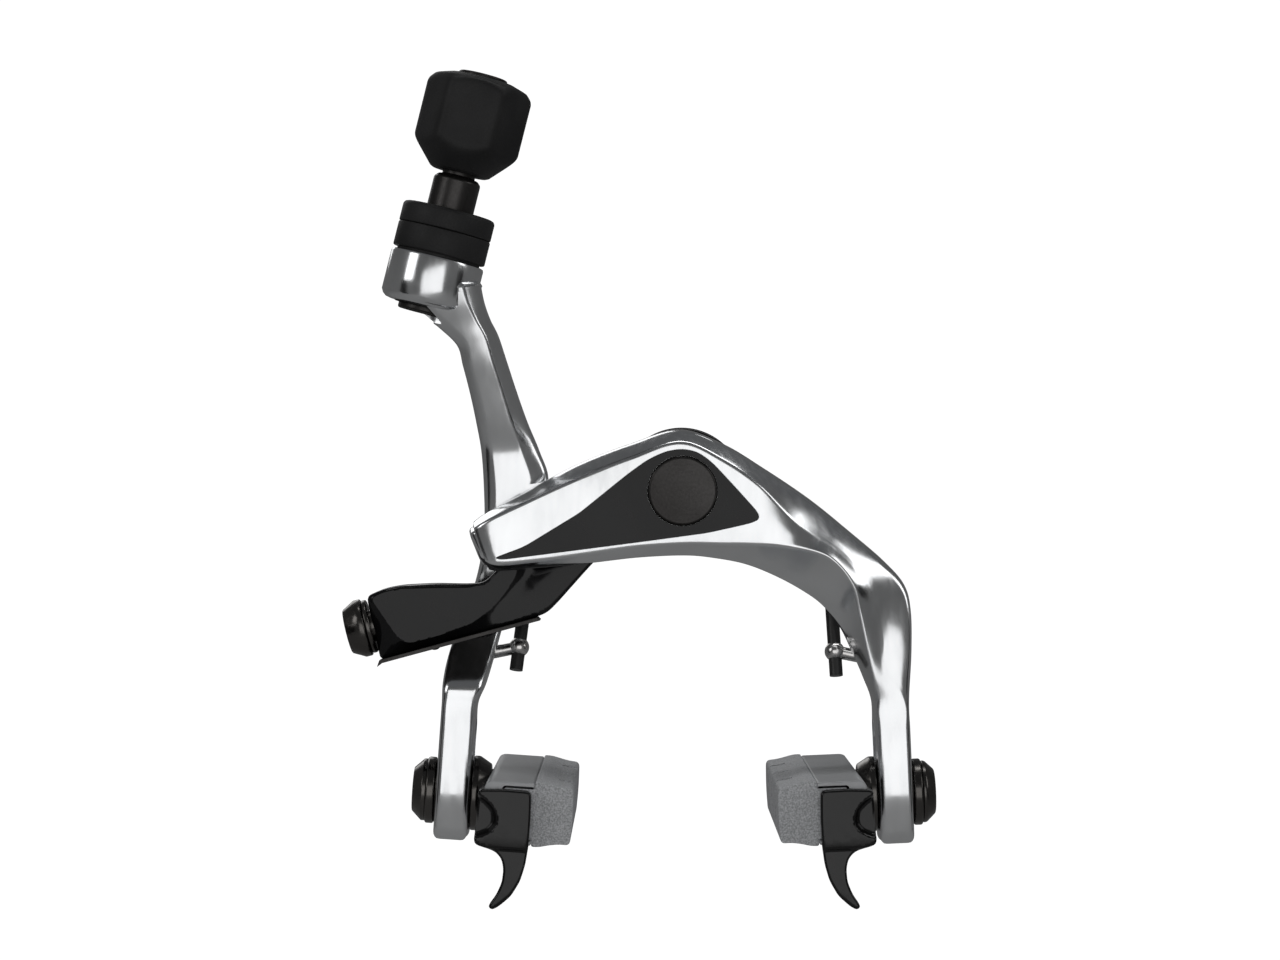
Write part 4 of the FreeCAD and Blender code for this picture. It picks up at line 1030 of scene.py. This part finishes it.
def make_cap():
    """The pivot cap, with the fine rings that turning leaves on its face."""
    cap = refined("pivot_cap", 0.3)
    cap.data.materials[0] = lathe_marked("black_anodised", "cap_face", PIVOT, 0.3, 0.006)


THREAD_START, THREAD_END = 12.0, 33.4
THREAD_PITCH, THREAD_DEPTH, THREAD_RADIUS = 1.0, 0.55, 2.98
SHANK_REACH, THREAD_GAP, THREAD_COUNT, STEPS_A_TURN = 4.5, 0.01, 64, 10
TOOTH_TOP, TOOTH_SLOPE, THREAD_WALL = 1.35, 2.9, 0.3
END_FADE, FADE_LENGTH = 0.35, 0.9


def make_stud():
    """The mounting bolt with a real helical thread along its rear end."""
    shank = clean_copy("mounting_bolt", "stud_finished")
    rearward = axes((0, 0, 0), (1, 0, 0), (0, 1, 0))
    core = THREAD_RADIUS - THREAD_DEPTH - 2 * THREAD_GAP
    sleeve = turned("thread_room", rearward, [
        (core, THREAD_START), (SHANK_REACH, THREAD_START), (SHANK_REACH, THREAD_END), (core, THREAD_END)], 96)
    boolean(shank, "DIFFERENCE", [sleeve])
    bevelled(shank, 0.15)
    stand_in(shank, "mounting_bolt")
    rings = []
    steps = int((THREAD_END - THREAD_START) / THREAD_PITCH * STEPS_A_TURN)
    for step in range(steps + 1):
        level = THREAD_START + THREAD_GAP + (THREAD_END - THREAD_START - 2 * THREAD_GAP) * step / steps
        fade = min(1.0, END_FADE + (THREAD_END - level) / FADE_LENGTH)
        ring = []
        for angle in turn_steps(THREAD_COUNT):
            phase = (level / THREAD_PITCH - angle / (2 * math.pi)) % 1.0
            tooth = min(1.0, max(0.0, TOOTH_TOP - TOOTH_SLOPE * abs(phase - 0.5)))
            radius = THREAD_RADIUS - THREAD_DEPTH * (1 - tooth * fade)
            ring.append((radius * math.cos(angle), radius * math.sin(angle), level))
        rings.append(placed(rearward, ring))
    inner = THREAD_RADIUS - THREAD_DEPTH - THREAD_WALL
    rings.append(placed(rearward, circle(inner, THREAD_END - THREAD_GAP, THREAD_COUNT)))
    rings.append(placed(rearward, circle(inner, THREAD_START + THREAD_GAP, THREAD_COUNT)))
    thread = skin("stud_thread", rings, looped=True)
    finish_piece(sharp_by_angle(thread, 35), BODY_OF["mounting_bolt"], SLOT_OF["mounting_bolt"])


def make_spring():
    """The return spring, parted in two over the stud, each half closed where it is cut."""
    for side, arm, sign in (("left", "rear_arm", -1), ("right", "front_arm", 1)):
        wire = clean_copy("return_spring", f"{side}_spring_wire")
        shape = bmesh.new()
        shape.from_mesh(wire.data)
        everything = shape.verts[:] + shape.edges[:] + shape.faces[:]
        bmesh.ops.bisect_plane(shape, geom=everything, plane_co=(PIVOT.translation.x * MM, 0, 0),
                               plane_no=(-sign, 0, 0), clear_outer=True)
        bmesh.ops.holes_fill(shape, edges=[edge for edge in shape.edges if edge.is_boundary])
        shape.to_mesh(wire.data)
        shape.free()
        sharp_by_angle(wire, 40)
        coat(wire, SLOT_OF["return_spring"])
        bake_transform(wire)
        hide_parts("return_spring")


def make_hardware():
    for node, width in EDGES.items():
        refined(node, width)
    for side in PADS:
        for name, width in PAD_EDGES.items():
            refined(f"{side}_{name}", width)


def dress_kept_nodes():
    """The nodes that keep their CAD shape, in the finish of their slot."""
    for node, piece in frame["nodes"].items():
        if not piece.hide_render:
            coat(piece, SLOT_OF[node])


# -- stage

low_corner, high_corner = (Vector(corner) for corner in cad_box)
CENTRE = (low_corner + high_corner) / 2
FLOOR_DROP = 0.25
FOCAL_MM, SENSOR_MM = 103.0, 36.0
CAMERA_Y = -0.588
ALL_ROUND = 96


def add_camera():
    """A long lens level with the caliper's middle, looking along +Y."""
    lens = bpy.data.cameras.new("camera")
    lens.lens = FOCAL_MM
    lens.sensor_width = SENSOR_MM
    lens.clip_start = 0.01
    camera = add_object("camera", lens)
    camera.location = (CENTRE.x, CAMERA_Y, CENTRE.z)
    camera.rotation_euler = (math.pi / 2, 0, 0)
    bpy.context.scene.camera = camera


def aim_at_middle(item):
    direction = CENTRE - item.location
    item.rotation_euler = direction.to_track_quat("-Z", "Y").to_euler()


def add_light(name, place, size, power):
    """A soft box aimed at the middle of the caliper."""
    lamp = bpy.data.lights.new(name, "AREA")
    lamp.shape = "RECTANGLE"
    lamp.size, lamp.size_y = size
    lamp.energy = power
    item = add_object(name, lamp)
    item.location = place
    item.visible_camera = False
    aim_at_middle(item)


def plain(name, colour, rough, glow=0.0):
    material, _, shader = new_material(name)
    shader.inputs["Base Color"].default_value = (*colour, 1)
    shader.inputs["Roughness"].default_value = rough
    shader.inputs["Emission Color"].default_value = (1, 1, 1, 1)
    shader.inputs["Emission Strength"].default_value = glow
    return material


def add_flag(name, place, size):
    """A black card, which only reflections see."""
    x, y = size[0] / 2, size[1] / 2
    mesh = bpy.data.meshes.new(name)
    corners = [(-x, -y, 0), (x, -y, 0), (x, y, 0), (-x, y, 0)]
    mesh.from_pydata(corners, [], [(0, 1, 2, 3)])
    card = add_object(name, mesh)
    card.location = place
    aim_at_middle(card)
    card.visible_camera = False
    card.visible_diffuse = False
    card.visible_shadow = False
    card.data.materials.append(plain("flag_black", (0.01, 0.01, 0.01), 0.9))


def add_stage():
    """A pale floor well below the caliper, which curves up into a wall all round."""
    floor_z = low_corner.z - FLOOR_DROP
    flat, bend, height = 1.1, 0.5, 1.6
    profile = [(0.05, 0.0), (0.5, 0.0), (flat, 0.0)]
    for turn in map(math.radians, range(10, 91, 10)):
        profile.append((flat + bend * math.sin(turn), bend * (1 - math.cos(turn))))
    profile.append((flat + bend, height))
    points = [(radius * math.cos(angle) / MM, radius * math.sin(angle) / MM, (floor_z + level) / MM)
              for radius, level in profile for angle in turn_steps(ALL_ROUND)]
    faces = [tuple(range(ALL_ROUND))]
    for low in range(0, len(points) - ALL_ROUND, ALL_ROUND):
        high = low + ALL_ROUND
        for column in range(ALL_ROUND):
            after = (column + 1) % ALL_ROUND
            faces.append((low + column, low + after, high + after, high + column))
    floor = add_mesh("floor", points, faces)
    white = plain("floor_white", (0.34, 0.34, 0.34), 0.8)
    tree = white.node_tree
    path = tree.nodes.new("ShaderNodeLightPath")
    glow = between(tree, path.outputs["Is Camera Ray"], 0.05, 1.0, 0.0, 1.0)
    tree.links.new(glow, tree.nodes["Principled BSDF"].inputs["Emission Strength"])
    floor.data.materials.append(white)


def add_studio():
    world = bpy.data.worlds.new("studio")
    world.use_nodes = True
    sky = world.node_tree.nodes["Background"]
    sky.inputs["Color"].default_value = (0.9, 0.92, 0.95, 1)
    sky.inputs["Strength"].default_value = 0.1
    bpy.context.scene.world = world
    bpy.context.scene.view_settings.view_transform = "Standard"
    add_light("key", (-0.8, -0.55, 0.4), (0.4, 0.5), 1.1)
    add_light("front", (0.05, -1.0, -0.02), (0.95, 0.62), 1.9)
    add_light("top", (0.15, 0.05, 0.8), (0.16, 0.8), 1.3)
    add_light("side", (0.75, -0.25, 0.35), (0.25, 0.5), 0.6)
    add_light("rear", (-0.3, 0.8, 0.4), (0.5, 0.4), 0.9)
    add_flag("flag_left", (-0.75, -0.35, -0.1), (0.25, 0.5))
    add_flag("flag_right", (0.75, -0.3, -0.1), (0.22, 0.5))


# -- the caliper

add_camera()
make_front_arm()
make_rear_arm()
make_link()
make_knob()
for pad_side in PADS:
    make_guide(pad_side)
    make_pad(pad_side)
make_collars()
make_cap()
make_stud()
make_spring()
make_hardware()
dress_kept_nodes()
add_stage()
add_studio()
